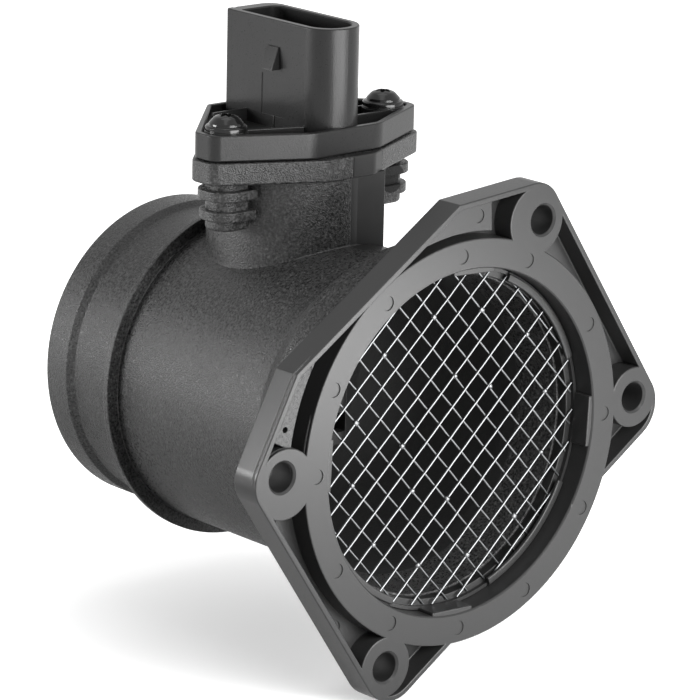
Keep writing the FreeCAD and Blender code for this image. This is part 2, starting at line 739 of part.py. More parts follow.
def add_blade_rooms(body):
    """The electronics room and the measuring channel, both open to the right-hand side of the blade."""
    room_depth = cover_back_x - room_back_x
    sketch = new_sketch(body, "room_rebate_outline", "YZ_Plane", lift=cover_face_x)
    add_rectangle(sketch, room_front_y - cover_lap, room_back_y + cover_lap,
                  room_bottom - cover_lap, room_top + cover_lap)
    pocket(body, sketch, "room_rebate", cover_thick)
    sketch = new_sketch(body, "room_outline", "YZ_Plane", lift=cover_back_x)
    add_rectangle(sketch, room_front_y, room_back_y, room_bottom, room_top)
    pocket(body, sketch, "electronics_room", room_depth)

    sketch = new_sketch(body, "channel_rebate_outline", "YZ_Plane", lift=cover_face_x)
    add_rectangle(sketch, channel_front_y - cover_lap, channel_back_y + cover_lap,
                  channel_bottom - cover_lap, channel_top + cover_lap)
    pocket(body, sketch, "channel_rebate", cover_thick)
    sketch = new_sketch(body, "channel_outline", "YZ_Plane", lift=cover_back_x)
    add_loop(sketch, [
        (channel_front_y, channel_bottom), (channel_back_y, channel_bottom), (channel_back_y, channel_top),
        (channel_front_y, channel_top), (channel_front_y, divider_z + divider_thick),
        (divider_back_y, divider_z + divider_thick), (divider_back_y, divider_z), (channel_front_y, divider_z)])
    pocket(body, sketch, "measuring_channel", room_depth)

    sketch = new_sketch(body, "inlet_outline", "XZ_Plane", lift=OVERRUN - blade_front_y)
    inlet_bottom = divider_z - inlet_height
    add_rectangle(sketch, room_back_x, cover_back_x, inlet_bottom, divider_z)
    pocket(body, sketch, "inlet", channel_front_y - blade_front_y + OVERRUN * 2)

    slot_half = tongue_width / 2 + cover_gap
    sketch = new_sketch(body, "tongue_slot_outline", "XY_Plane", lift=room_bottom + OVERRUN)
    add_rectangle(sketch, room_back_x, room_back_x + carrier_thick, tongue_y - slot_half, tongue_y + slot_half)
    pocket(body, sketch, "tongue_slot", room_bottom - channel_top + OVERRUN * 2)

    sketch = new_sketch(body, "notch_outline", "YZ_Plane", lift=blade_half_x + OVERRUN)
    add_rectangle(sketch, blade_front_y - OVERRUN, blade_front_y + notch_depth, notch_bottom, notch_bottom + notch_height)
    pocket(body, sketch, "thermistor_notch", (blade_half_x + OVERRUN) * 2)


def build_cover(label, front, back, low, high, outlet):
    """A flat cover that drops into its rebate in the blade's side."""
    body = new_body(label)
    grow = cover_lap - cover_gap
    sketch = new_sketch(body, label + "_outline", "YZ_Plane", lift=cover_back_x)
    add_rectangle(sketch, front - grow, back + grow, low - grow, high + grow)
    pad(body, sketch, label + "_plate", cover_thick)
    if outlet:
        sketch = new_sketch(body, "outlet_outline", "YZ_Plane", lift=cover_face_x)
        add_rectangle(sketch, front, front + outlet_length, divider_z + divider_thick, high)
        pocket(body, sketch, "outlet", cover_thick)
    return body


def build_carrier_plate():
    """Metal plate behind the board, with a tongue that reaches down into the measuring channel."""
    body = new_body("carrier_plate")
    sketch = new_sketch(body, "carrier_outline", "YZ_Plane", lift=room_back_x)
    margin = carrier_margin
    half = tongue_width / 2
    add_loop(sketch, [
        (room_front_y + margin, room_bottom + margin), (tongue_y - half, room_bottom + margin),
        (tongue_y - half, tongue_bottom), (tongue_y + half, tongue_bottom),
        (tongue_y + half, room_bottom + margin), (room_back_y - margin, room_bottom + margin),
        (room_back_y - margin, room_top - margin), (room_front_y + margin, room_top - margin)])
    pad(body, sketch, "carrier", carrier_thick)
    return body


def block(label, x, y, z, length_x, length_y, length_z):
    """A plain rectangular component, placed by its lowest corner."""
    box = doc.addObject("Part::Box", label)
    box.Label = label
    bind(box, "Length", length_x)
    bind(box, "Width", length_y)
    bind(box, "Height", length_z)
    bind(box, "Placement.Base.x", x)
    bind(box, "Placement.Base.y", y)
    bind(box, "Placement.Base.z", z)
    return box


def build_electronics():
    carrier_face = room_back_x + carrier_thick
    board_face = carrier_face + board_thick
    pieces = [build_carrier_plate()]
    pieces.append(block("circuit_board", carrier_face, room_front_y + board_margin, room_bottom + board_margin,
                        board_thick, room_back_y - room_front_y - board_margin * 2,
                        room_top - room_bottom - board_margin * 2 - board_top_space))
    chip_y = (room_front_y + room_back_y) / 2 - chip_size / 2
    chip_z = room_bottom + board_margin + chip_rise
    pieces.append(block("signal_chip", board_face, chip_y, chip_z, chip_thick, chip_size, chip_size))
    for number in range(2):
        y = room_front_y + board_margin + capacitor_edge + capacitor_spacing * number
        pieces.append(block(f"capacitor_{number + 1}", board_face, y, chip_z, capacitor_width,
                            capacitor_width, capacitor_length))
    pieces.append(block("hot_film_chip", carrier_face, tongue_y - film_width / 2, tongue_bottom + film_rise,
                        film_thick, film_width, film_height))
    return pieces


def build_thermistor():
    """Glass bead on two leads, held across the notch in the blade's leading edge."""
    body = new_body("air_temperature_sensor")
    middle_y = blade_front_y + notch_depth / 2
    middle_z = notch_bottom + notch_height / 2
    top = notch_bottom + notch_height
    sketch = new_sketch(body, "thermistor_profile", "XZ_Plane", lift=-middle_y)
    add_loop(sketch, [
        (ZERO, notch_bottom), (lead_r, notch_bottom), (lead_r, middle_z - thermistor_half),
        (thermistor_r, middle_z - thermistor_half), (thermistor_r, middle_z + thermistor_half),
        (lead_r, middle_z + thermistor_half), (lead_r, top), (ZERO, top)])
    revolve(body, sketch, "thermistor", axis="V_Axis")
    return body


def build_pins():
    pins = []
    for number in range(pin_count):
        middle = pin_first_y + pin_pitch * number
        pins.append(block(f"terminal_pin_{number + 1}", pin_x - pin_thick / 2, middle - pin_width / 2, pin_bottom,
                          pin_thick, pin_width, pin_top - pin_bottom))
    return pins


def build_seal():
    """Rubber ring, pressed flat where it meets the groove's floor and the turret's bore."""
    body = new_body("neck_seal")
    sketch = new_sketch(body, "seal_profile", "XZ_Plane", lift=-turret_y)
    outer = turret_bore_r - seal_fit
    inner = turret_bore_r - seal_wire_r * 2 + seal_fit
    middle = turret_bore_r - seal_wire_r
    flat = seal_flat / 2
    side = seal_wire_r - seal_fit
    add_loop(sketch, [
        (outer, seal_z - flat), (outer, seal_z + flat), (middle, seal_z + side),
        (inner, seal_z + flat), (inner, seal_z - flat), (middle, seal_z - side)])
    revolve(body, sketch, "seal", axis="V_Axis")
    return body


def build_screw(label, side):
    """Self-tapping screw with a pan head, a washer face and a six-sided recess."""
    body = new_body(label)
    sketch = new_sketch(body, label + "_profile", "XZ_Plane")
    top = washer_thick + head_height
    add_loop(sketch, [
        (ZERO, -screw_length), (screw_r, -screw_length), (screw_r, ZERO), (washer_r, ZERO),
        (washer_r, washer_thick), (head_r, washer_thick), (head_r, washer_thick + head_side),
        (head_top_r, top), (ZERO, top)])
    revolve(body, sketch, label + "_turned", axis="V_Axis")
    sketch = new_sketch(body, label + "_drive_outline", "XY_Plane", lift=top)
    corners = []
    for number in range(6):
        angle = as_size(60 * number)
        corners.append((drive_r * cosine(angle), drive_r * sine(angle)))
    add_loop(sketch, corners)
    pocket(body, sketch, label + "_drive", drive_depth)
    bind(body, "Placement.Base.x", screw_x * side)
    bind(body, "Placement.Base.y", screw_y)
    bind(body, "Placement.Base.z", cap_top)
    return body


def build_screen():
    """Two layers of straight wires, welded where they cross."""
    bars = []
    up = FreeCAD.Vector(0, 1, 0)
    for layer in range(2):
        angle = screen_turn + 45 + 90 * layer
        front = screen_y + (wire - weld_sink) * layer
        for number in range(-wires_each_side, wires_each_side + 1):
            offset = mesh_pitch * number + mesh_shift
            outer_edge = offset + wire / 2 if offset.number > 0 else offset - wire / 2
            half = root(mesh_r * mesh_r - outer_edge * outer_edge)
            bar = doc.addObject("Part::Box", f"wire_{layer}_{number + wires_each_side}")
            bind(bar, "Length", half * 2)
            bind(bar, "Width", wire)
            bind(bar, "Height", wire)
            bar.Placement = FreeCAD.Placement(FreeCAD.Vector(), FreeCAD.Rotation(up, -angle.number))
            bind(bar, "Placement.Rotation.Angle", -angle)
            low = offset - wire / 2
            bind(bar, "Placement.Base.x", -half * cosine(angle) - low * sine(angle))
            bind(bar, "Placement.Base.z", -half * sine(angle) + low * cosine(angle))
            bind(bar, "Placement.Base.y", front)
            bars.append(bar)
    screen = doc.addObject("Part::MultiFuse", "wire_screen")
    screen.Shapes = bars
    screen.Label = "wire_screen"
    return screen


def build_screen_ring():
    """Ring moulded round the wires' ends: a full rear hoop and four raised front lips."""
    body = new_body("screen_ring")
    sketch = new_sketch(body, "ring_profile", "YZ_Plane")
    slot_r = mesh_r + wire_slot_gap
    add_loop(sketch, [
        (ring_front_y, ring_inner_r), (ring_front_y, ring_outer_r), (screen_seat_y, ring_outer_r),
        (screen_seat_y, ring_inner_r), (screen_back_y, ring_inner_r), (screen_back_y, slot_r),
        (screen_y, slot_r), (screen_y, ring_inner_r)])
    revolve(body, sketch, "ring")
    slope = tangent(ring_notch_angle / 2)
    for number in range(4):
        angle = screen_turn + 90 * number
        sketch = new_sketch(body, f"notch_{number + 1}_outline", "XZ_Plane", lift=-ring_front_y, turn=angle)
        add_loop(sketch, [(notch_near_r, -notch_near_r * slope), (notch_far_r, -notch_far_r * slope),
                          (notch_far_r, notch_far_r * slope), (notch_near_r, notch_near_r * slope)])
        pocket(body, sketch, f"notch_{number + 1}", screen_y - ring_front_y)
    return body


def check_and_export(pieces):
    """Stop if anything failed, then write each sub-part to its own STEP file."""
    doc.recompute()
    for thing in doc.Objects:
        if "Invalid" in thing.State or "Error" in thing.State:
            raise RuntimeError(f"{thing.Name} is in state {thing.State}")
    os.makedirs("parts", exist_ok=True)
    triangles = 0
    for piece in pieces:
        shape = piece.Shape
        if shape.isNull() or not shape.isValid():
            raise RuntimeError(f"{piece.Label} has no valid shape")
        facets = len(shape.tessellate(0.1)[1])
        triangles += facets
        print(f"{piece.Label}: {len(shape.Solids)} solid, {shape.Volume:.1f} mm3, {facets} facets")
    print("facets in all:", triangles)
    for piece in pieces:
        piece.Shape.exportStep(f"parts/{piece.Label}.step")


parts = [build_flow_housing(), build_screen(), build_screen_ring(), build_sensor_body()]
parts.append(build_cover("electronics_cover", room_front_y, room_back_y, room_bottom, room_top, False))
parts.append(build_cover("channel_cover", channel_front_y, channel_back_y, channel_bottom, channel_top, True))
parts += build_electronics()
parts.append(build_thermistor())
parts += build_pins()
parts.append(build_seal())
parts.append(build_screw("screw_left", -1))
parts.append(build_screw("screw_right", 1))
check_and_export(parts)
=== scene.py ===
import math
import random

import bmesh
import bpy
from mathutils import Matrix, Vector


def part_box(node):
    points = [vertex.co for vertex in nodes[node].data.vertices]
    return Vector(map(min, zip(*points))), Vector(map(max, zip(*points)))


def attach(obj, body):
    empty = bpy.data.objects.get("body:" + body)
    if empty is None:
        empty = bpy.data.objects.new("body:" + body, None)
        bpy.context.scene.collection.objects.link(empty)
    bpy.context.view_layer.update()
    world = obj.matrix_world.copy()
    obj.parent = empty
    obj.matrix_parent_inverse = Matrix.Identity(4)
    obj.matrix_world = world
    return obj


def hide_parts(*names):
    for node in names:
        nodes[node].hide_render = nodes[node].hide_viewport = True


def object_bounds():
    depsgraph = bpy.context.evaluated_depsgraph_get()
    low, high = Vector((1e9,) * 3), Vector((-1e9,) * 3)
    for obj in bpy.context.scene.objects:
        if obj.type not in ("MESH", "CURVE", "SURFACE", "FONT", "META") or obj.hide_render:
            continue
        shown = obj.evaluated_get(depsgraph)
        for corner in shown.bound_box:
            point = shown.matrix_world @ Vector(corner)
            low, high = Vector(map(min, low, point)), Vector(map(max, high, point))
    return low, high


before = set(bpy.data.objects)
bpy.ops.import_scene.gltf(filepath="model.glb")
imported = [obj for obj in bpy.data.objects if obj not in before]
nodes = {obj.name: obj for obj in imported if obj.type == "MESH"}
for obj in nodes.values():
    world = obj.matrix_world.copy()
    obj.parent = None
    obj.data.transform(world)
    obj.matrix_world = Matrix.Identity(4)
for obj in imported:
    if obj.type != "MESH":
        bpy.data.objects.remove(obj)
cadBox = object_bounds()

# Sizes below are in millimetres; every mesh is brought to metres when it is made.
# The air flows along +Y, the flange's front face is y = 0, and the bore's centre is the origin.
mm = 0.001
meshing = {"weld": 2e-7, "finalWeld": 1e-6, "leastRadius": 0.02, "outlineReach": 0.499, "pathReach": 0.49,
           "arcStep": 18.0, "normalWeight": 80}


def polar(radius, degrees):
    angle = math.radians(degrees)
    return radius * math.cos(angle), radius * math.sin(angle)


def turnPoint(across, up, degrees):
    c, s = math.cos(math.radians(degrees)), math.sin(math.radians(degrees))
    return across * c - up * s, across * s + up * c


def rectangle(x0, y0, x1, y1):
    return [(x0, y0), (x1, y0), (x1, y1), (x0, y1)]


def mirrored(corners):
    return [(-a, b) for a, b in reversed(corners)]


def newObject(name, data):
    obj = bpy.data.objects.new(name, data)
    bpy.context.scene.collection.objects.link(obj)
    return obj


def cleanMesh(mesh, weld, turnOut):
    work = bmesh.new()
    work.from_mesh(mesh)
    bmesh.ops.remove_doubles(work, verts=work.verts, dist=weld)
    bmesh.ops.dissolve_degenerate(work, edges=work.edges, dist=weld)
    if turnOut:
        bmesh.ops.recalc_face_normals(work, faces=work.faces)
    work.to_mesh(mesh)
    work.free()


def meshObject(name, points, faces):
    mesh = bpy.data.meshes.new(name)
    mesh.from_pydata([Vector(p) * mm for p in points], [], faces)
    cleanMesh(mesh, meshing["weld"], True)
    return newObject(name, mesh)


def arcPoints(centre, start, sweep, steps):
    # an arc that begins at centre + start
    points = []
    for k in range(steps + 1):
        c, s = math.cos(sweep * k / steps), math.sin(sweep * k / steps)
        points.append((centre.x + start.x * c - start.y * s, centre.y + start.x * s + start.y * c))
    return points


def roundedOutline(corners, radii, inset=0.0, steps=8):
    # corners run anticlockwise; the outline moves inwards by inset and its corner radii shrink with it
    count = len(corners)
    lines = []
    for i in range(count):
        a, b = Vector(corners[i]), Vector(corners[(i + 1) % count])
        along = (b - a).normalized()
        inward = Vector((-along.y, along.x))
        lines.append((a + inward * inset, along))
    moved = []
    for i in range(count):
        (p, d), (q, e) = lines[i - 1], lines[i]
        cross = d.x * e.y - d.y * e.x
        t = ((q.x - p.x) * e.y - (q.y - p.y) * e.x) / cross
        moved.append(p + d * t)
    outline = []
    for i in range(count):
        corner = moved[i]
        back, ahead = moved[i - 1] - corner, moved[(i + 1) % count] - corner
        before, after = back.normalized(), ahead.normalized()
        half = before.angle(after) / 2
        reach = max(radii[i] - inset, meshing["leastRadius"]) / math.tan(half)
        reach = min(reach, meshing["outlineReach"] * back.length, meshing["outlineReach"] * ahead.length)
        radius = reach * math.tan(half)
        centre = corner + (before + after).normalized() * (radius / math.sin(half))
        start = corner + before * reach - centre
        turn = math.pi - 2 * half
        if before.x * after.y - before.y * after.x > 0:
            turn = -turn
        outline += arcPoints(centre, start, turn, steps)
    return outline


def circleOutline(radius, x=0.0, y=0.0, steps=64):
    return lambda inset: [(x + a, y + b) for a, b in
                          (polar(radius - inset, 360 * k / steps) for k in range(steps))]


def cornerOutline(corners, radii, steps=8):
    if not isinstance(radii, (list, tuple)):
        radii = [radii] * len(corners)
    return lambda inset: roundedOutline(corners, radii, inset, steps)


def edgeLevels(low, high, lowRound, highRound, steps=3):
    # heights and insets of a slab whose two rims are rounded; a negative round flares outwards
    levels = []
    for k in range(steps + 1 if lowRound else 1):
        a = math.pi / 2 * k / steps
        levels.append((low + abs(lowRound) * (1 - math.cos(a)), lowRound * (1 - math.sin(a))))
    for k in range(steps if highRound else 0, -1, -1):
        a = math.pi / 2 * k / steps
        levels.append((high - abs(highRound) * (1 - math.cos(a)), highRound * (1 - math.sin(a))))
    return levels


def sleeveFaces(first, levels, around):
    # faces between rings of points that follow each other, closed at both ends
    faces = []
    for r in range(levels - 1):
        low, high = first + r * around, first + (r + 1) * around
        for i in range(around):
            j = (i + 1) % around
            faces.append((low + i, low + j, high + j, high + i))
    faces.append(tuple(range(first + around - 1, first - 1, -1)))
    faces.append(tuple(range(first + (levels - 1) * around, first + levels * around)))
    return faces


def stack(name, outline, levels, place):
    # rings of one outline at several heights
    rings = [[place(u, v, h) for u, v in outline(inset)] for h, inset in levels]
    points = [p for ring in rings for p in ring]
    return meshObject(name, points, sleeveFaces(0, len(rings), len(rings[0])))


def standing(u, v, h):
    return u, v, h


def flowing(turn=0.0):
    # places an outline across the flow, turned about the bore's axis
    def place(u, v, h):
        x, z = turnPoint(u, v, turn)
        return x, h, z
    return place


def slabUp(name, outline, low, high, lowRound, highRound, steps=3):
    return stack(name, outline, edgeLevels(low, high, lowRound, highRound, steps), standing)


def slabFlow(name, outline, low, high, lowRound, highRound, turn=0.0):
    return stack(name, outline, edgeLevels(low, high, lowRound, highRound), flowing(turn))


def boxSlab(name, low, high, edge):
    outline = cornerOutline(rectangle(low[0], low[1], high[0], high[1]), edge, 3)
    return slabUp(name, outline, low[2], high[2], edge, edge)


def roundedPath(path, closed=True):
    # path holds (along, radius, rounding) and comes back with an arc at each corner
    count = len(path)
    out = []
    for i, (a, r, rounding) in enumerate(path):
        if rounding <= 0 or (not closed and i in (0, count - 1)):
            out.append((a, r))
            continue
        corner = Vector((a, r))
        before = Vector(path[i - 1][:2]) - corner
        after = Vector(path[(i + 1) % count][:2]) - corner
        half = before.angle(after) / 2
        reach = min(rounding / math.tan(half), meshing["pathReach"] * before.length,
                    meshing["pathReach"] * after.length)
        radius = reach * math.tan(half)
        middle = (before.normalized() + after.normalized()).normalized()
        centre = corner + middle * (radius / math.sin(half))
        start = corner + before.normalized() * reach - centre
        end = corner + after.normalized() * reach - centre
        sweep = math.atan2(start.x * end.y - start.y * end.x, start.dot(end))
        steps = max(2, int(abs(sweep) / math.radians(meshing["arcStep"])) + 1)
        out += arcPoints(centre, start, sweep, steps)
    return out


def lathe(name, profile, place, segments, closed=True):
    # profile is a loop of (along, radius); open profiles start and end on the axis
    points = []
    rings = []
    for along, radius in profile:
        if radius < 1e-6:
            rings.append([len(points)])
            points.append(place(along, 0.0, 0.0))
            continue
        rings.append(list(range(len(points), len(points) + segments)))
        points += [place(along, *polar(radius, 360 * k / segments)) for k in range(segments)]
    faces = []
    last = len(rings) if closed else len(rings) - 1
    for r in range(last):
        one, two = rings[r], rings[(r + 1) % len(rings)]
        for k in range(segments):
            j = (k + 1) % segments
            if len(one) == 1:
                faces.append((one[0], two[k], two[j]))
            elif len(two) == 1:
                faces.append((one[k], two[0], one[j]))
            else:
                faces.append((one[k], two[k], two[j], one[j]))
    return meshObject(name, points, faces)


def alongFlow(along, x, z):
    return x, along, z


def uprightAt(cx, cy):
    return lambda along, x, y: (cx + x, cy + y, along)


def combine(base, operation, *others):
    # applies one exact boolean after another and drops the tools
    for other in others:
        step = base.modifiers.new("step", "BOOLEAN")
        step.operation = operation
        step.solver = "EXACT"
        step.object = other
        graph = bpy.context.evaluated_depsgraph_get()
        result = bpy.data.meshes.new_from_object(base.evaluated_get(graph))
        base.modifiers.clear()
        old = base.data
        base.data = result
        bpy.data.meshes.remove(old)
        bpy.data.objects.remove(other)
    return base


def join(name, objects):
    work = bmesh.new()
    for obj in objects:
        work.from_mesh(obj.data)
        bpy.data.objects.remove(obj)
    mesh = bpy.data.meshes.new(name)
    work.to_mesh(mesh)
    work.free()
    return newObject(name, mesh)


def finishPiece(obj, name, replaced, sharp=38.0, weighted=True):
    # cleans the mesh, shades it smooth between sharp edges and hands it to the frame
    obj.name = name
    obj.data.name = name
    obj.data.materials.clear()
    cleanMesh(obj.data, meshing["finalWeld"], False)
    obj.data.shade_smooth()
    obj.data.set_sharp_from_angle(angle=math.radians(sharp))
    if weighted:
        even = obj.modifiers.new("evenNormals", "WEIGHTED_NORMAL")
        even.keep_sharp = True
        even.weight = meshing["normalWeight"]
    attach(obj, "root")
    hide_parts(*replaced)
    print("made", name, len(obj.data.polygons), "faces")
    return obj


housing = {
    "tubeStart": 1.3, "boreRadius": 44.5, "mouthRadius": 47.2, "seatDepth": 9.9, "seatRadius": 41.2,
    "throatStart": 26.0, "throatRadius": 38.6, "flareStart": 23.0, "flareEnd": 31.0, "tubeRadius": 41.4,
    "collarStart": 87.0, "collarEnd": 89.0, "collarRadius": 44.7, "hoseRadius": 39.7, "rampStart": 107.1,
    "beadStart": 109.3, "beadRadius": 41.0, "length": 118.0, "hoseBore": 37.1,
    "flangeTurn": 33.7, "halfWidth": 57.3, "top": 53.2, "bottom": 42.0, "topHalf": 31.0, "slope": 29.0,
    "topCorner": 0.8, "topEar": 8.2, "bottomEar": 9.3, "thick": 8.0, "ringRadius": 52.2, "rim": 1.5,
    "pocketDepth": 6.0, "edge": 0.35, "ringSink": 0.002, "bossSink": 0.003, "discSink": 0.004, "discInset": 0.01,
    "landDepth": 1.2, "landLow": 45.0, "lands": [(1, 53.9, 12.0, 40.5, 36.5), (-1, 56.6, 7.0, 45.4, 42.2)],
    "topBoss": 9.0, "topBossAcross": 48.5, "topBossUp": 32.4, "bottomBoss": 8.0,
    "boltAcross": 50.2, "boltUp": 31.1, "leftBolt": -59.4, "holeRadius": 3.75, "holeMouth": 0.6,
    "markRing": 48.3, "markRadius": 1.9, "markDepth": 0.3, "pocketMarks": [(-57.4, -9.7), (-36.6, -42.3)],
    "markAngles": [-0.6, 30.0, 65.8, 92.9, 123.7, 154.0, 179.8, 211.3, 241.2, 269.6, 297.6, 329.5],
    "landMarks": [(3.6, 57.5, -1.0, 1.5, 1.8), (-57.8, 13.4, -1.0, 4.5, 0.8)],
    "ribCorners": rectangle(43.2, -6.7, 45.9, 6.7), "ribFront": 0.45, "ribBack": 5.85, "ribTurn": -2.6,
    "turretY": 67.5, "turretRadius": 22.2, "turretFillet": 0.6, "filletInner": 20.9, "filletDepth": 1.2,
    "filletSink": 0.03, "panelLeft": 1.3, "panelRight": 12.2, "panelFront": 45.5, "panelLow": 20.5,
    "panelHigh": 59.5, "sensorHole": 19.5, "plateBottom": 59.2, "plateTop": 64.9, "plateFront": (44.5, -7.5, 7.7),
    "plateRadii": [0.7, 3.5], "seam": (0.3, 44.0, 0.55, 44.66), "screwX": 26.3, "screwY": 63.0, "pilotRadius": 2.33,
    "towerFins": [(4.8, 22.5, 46.5, 60.0, 0.8), (6.3, 21.0, 49.2, 51.8, 0.35), (6.7, 21.0, 54.5, 57.1, 0.35)],
    "web": rectangle(20.5, 63.0, 26.0, 67.0),
}


def flangeCorners(inset=0.0):
    h = housing
    half = math.radians(h["slope"] / 2)
    top = h["top"] - inset
    side = h["halfWidth"] - inset
    corner = h["topHalf"] - inset * math.tan(half)
    shoulder = top - (side - corner) * math.tan(2 * half)
    bottom = -h["bottom"] + inset
    return [(-corner, top), (-side, shoulder), (-side, bottom), (side, bottom), (side, shoulder), (corner, top)]


def boltPlaces():
    # upper, right, left and lower hole
    h = housing
    across, up, turn = h["boltAcross"], h["boltUp"], h["flangeTurn"]
    right = turnPoint(across, -up, turn)
    return [turnPoint(across, up, turn), right, (h["leftBolt"], right[1]), turnPoint(-across, -up, turn)]


def makeFlange():
    # one slab; its pockets are cut by a block that the ring, the bosses and the raised floors are taken from first
    h = housing
    turn, edge, rim, top = h["flangeTurn"], h["edge"], h["rim"], h["top"]
    radii = [h["topCorner"], h["topEar"], h["bottomEar"], h["bottomEar"], h["topEar"], h["topCorner"]]
    flange = slabFlow("flangeWork", cornerOutline(flangeCorners(), radii, 12), 0.0, h["thick"], edge, edge, turn)
    inner = cornerOutline(flangeCorners(rim), [max(r - rim, 0.5) for r in radii], 12)
    levels = [(-1.0, -0.3)] + edgeLevels(0.0, h["pocketDepth"], -0.3, 0.4)
    pocket = stack("pocketWork", inner, levels, flowing(turn))
    kept = [slabFlow("ringKeep", circleOutline(h["ringRadius"], steps=256), h["ringSink"], 9.0, edge, 0.0)]
    slope = math.tan(math.radians(h["slope"]))
    for number, (side, innerRadius, start, end, foot) in enumerate(h["lands"]):
        # the last three corners only have to lie outside the slab
        footUp = math.sqrt(innerRadius ** 2 - foot ** 2)
        endUp = top - rim - (end - h["topHalf"]) * slope
        corners = [(start, h["landLow"]), (foot - 4.0, footUp - 4.0), (foot, footUp), (end, endUp),
                   (end + 2.0, endUp + 3.0), (start + 20.0, top + 7.0), (start, top + 1.0)]
        if side < 0:
            corners = mirrored(corners)
        land = slabFlow("landWork", cornerOutline(corners, 0.5, 3), h["landDepth"], 8.5 + number, 0.3, 0.0, turn)
        cut = slabFlow("landCut", circleOutline(innerRadius, steps=192), -2.0, 11.0, 0.0, 0.0)
        kept.append(combine(land, "DIFFERENCE", cut))
    bosses = [(*turnPoint(side * h["topBossAcross"], h["topBossUp"], turn), h["topBoss"]) for side in (1, -1)]
    bosses += [(*boltPlaces()[number], h["bottomBoss"]) for number in (1, 3)]
    for number, (x, z, radius) in enumerate(bosses):
        outline = circleOutline(radius, x, z, 96)
        kept.append(slabFlow("bossKeep", outline, h["bossSink"], 9.1 + 0.1 * number, edge, 0.0))
    combine(flange, "DIFFERENCE", combine(pocket, "DIFFERENCE", *kept))
    # the ring bulges out below the slab's lower edge
    outline = circleOutline(h["ringRadius"] - h["discInset"], steps=256)
    disc = slabFlow("discWork", outline, h["discSink"], h["thick"] - h["discInset"], edge, edge)
    return combine(flange, "UNION", disc)


def makeTube():
    # the outside is turned here and the inside is cut at the end
    h = housing
    return lathe("tubeWork", roundedPath([
        (h["tubeStart"], 0.0, 0), (h["tubeStart"], h["mouthRadius"], 0), (h["flareStart"], h["mouthRadius"], 3.0),
        (h["flareEnd"], h["tubeRadius"], 3.0), (h["collarStart"], h["tubeRadius"], 0.25),
        (h["collarStart"], h["collarRadius"], 0.3), (h["collarEnd"], h["collarRadius"], 0.5),
        (h["collarEnd"], h["hoseRadius"], 0.6), (h["rampStart"], h["hoseRadius"], 1.2),
        (h["beadStart"], h["beadRadius"], 1.0), (h["length"], h["beadRadius"], 0.9), (h["length"], 0.0, 0)],
        False), alongFlow, 256, False)


def makeBoreCutter():
    h = housing
    return lathe("boreWork", roundedPath([
        (-0.6, 0.0, 0), (-0.6, h["boreRadius"] + 1.0, 0), (0.4, h["boreRadius"], 0.6),
        (h["seatDepth"], h["boreRadius"], 0.2), (h["seatDepth"], h["seatRadius"], 0.3),
        (h["throatStart"], h["throatRadius"], 3.0), (h["collarStart"] - 4.0, h["throatRadius"], 1.5),
        (h["collarStart"], h["hoseBore"], 1.5), (h["length"] - 0.5, h["hoseBore"], 0.4),
        (h["length"] + 0.6, h["hoseBore"] + 1.1, 0), (h["length"] + 0.6, 0.0, 0)],
        False), alongFlow, 256, False)


def makeTowers():
    h = housing
    x, y = h["screwX"], h["screwY"]
    towers = []
    for side in (1, -1):
        for number, (radius, innerX, low, high, lowRound) in enumerate(h["towerFins"]):
            corners = rectangle(innerX + 0.01 * number, y - radius, x + radius, y + radius)
            radii = [0.5, radius - 0.02, radius - 0.02, 0.5]
            if side < 0:
                corners, radii = mirrored(corners), radii[::-1]
            outline = cornerOutline(corners, radii, 14)
            towers.append(slabUp("towerWork", outline, low, high, lowRound, 0.35 if number else 0.0))
        web = h["web"] if side > 0 else mirrored(h["web"])
        towers.append(slabUp("webWork", cornerOutline(web, 0.3, 3), 46.9, 60.1, 0.3, 0.0))
    return towers


def turretFillet():
    # rolling-ball fillet in the corner between the upright turret and the lying tube
    h = housing
    turns, steps = 160, 7
    radius, inner, depth = h["turretFillet"], h["filletInner"], h["tubeRadius"] - h["filletDepth"]
    upright = h["turretRadius"] + radius - h["filletSink"]
    lying = h["tubeRadius"] + radius - h["filletSink"]
    points, faces = [], []
    for k in range(turns):
        c, s = polar(1.0, 360 * k / turns)
        cx, cy = upright * c, upright * s
        cz = math.sqrt(lying ** 2 - cx ** 2)
        toTurret = Vector((-c, -s, 0))
        toTube = Vector((-cx, 0, -cz)).normalized()
        sweep = toTurret.angle(toTube)
        side = (toTube - toTurret * toTurret.dot(toTube)).normalized()
        ring = [Vector((inner * c, inner * s, cz + 0.1))]
        for i in range(steps + 1):
            a = sweep * i / steps
            ring.append(Vector((cx, cy, cz)) + (toTurret * math.cos(a) + side * math.sin(a)) * radius)
        low = Vector((cx, 0, cz)) * depth / lying
        ring.append(Vector((low.x, cy, low.z)))
        ring.append(Vector((inner * c, inner * s, math.sqrt(depth ** 2 - (inner * c) ** 2))))
        points += [(p.x, p.y + h["turretY"], p.z) for p in ring]
    size = len(points) // turns
    for k in range(turns):
        j = (k + 1) % turns
        for i in range(size):
            m = (i + 1) % size
            faces.append((k * size + i, k * size + m, j * size + m, j * size + i))
    return meshObject("filletWork", points, faces)


# The cap flange of the plug-in unit and the housing's plate under it share one outline.
pad = {"ear": 34.8, "earFront": 58.1, "earBack": 66.1, "back": 90.5, "backHalf": 10.5, "capFront": (46.2, -11.0, 11.0)}
capRadii = [7.0, 10.0, 3.8, 3.4, 2.2, 2.2, 3.4, 3.8]


def padCorners(front, frontLeft, frontRight, inset=0.0):
    p = pad
    ear, back, half = p["ear"] - inset, p["back"] - inset, p["backHalf"]
    earFront, earBack = p["earFront"] + inset, p["earBack"] - inset / 2
    return [(frontLeft, front + inset), (frontRight, front + inset), (ear, earFront), (ear, earBack),
            (half, back), (-half, back), (-ear, earBack), (-ear, earFront)]


def capCorners(inset=0.0):
    return padCorners(*pad["capFront"], inset)


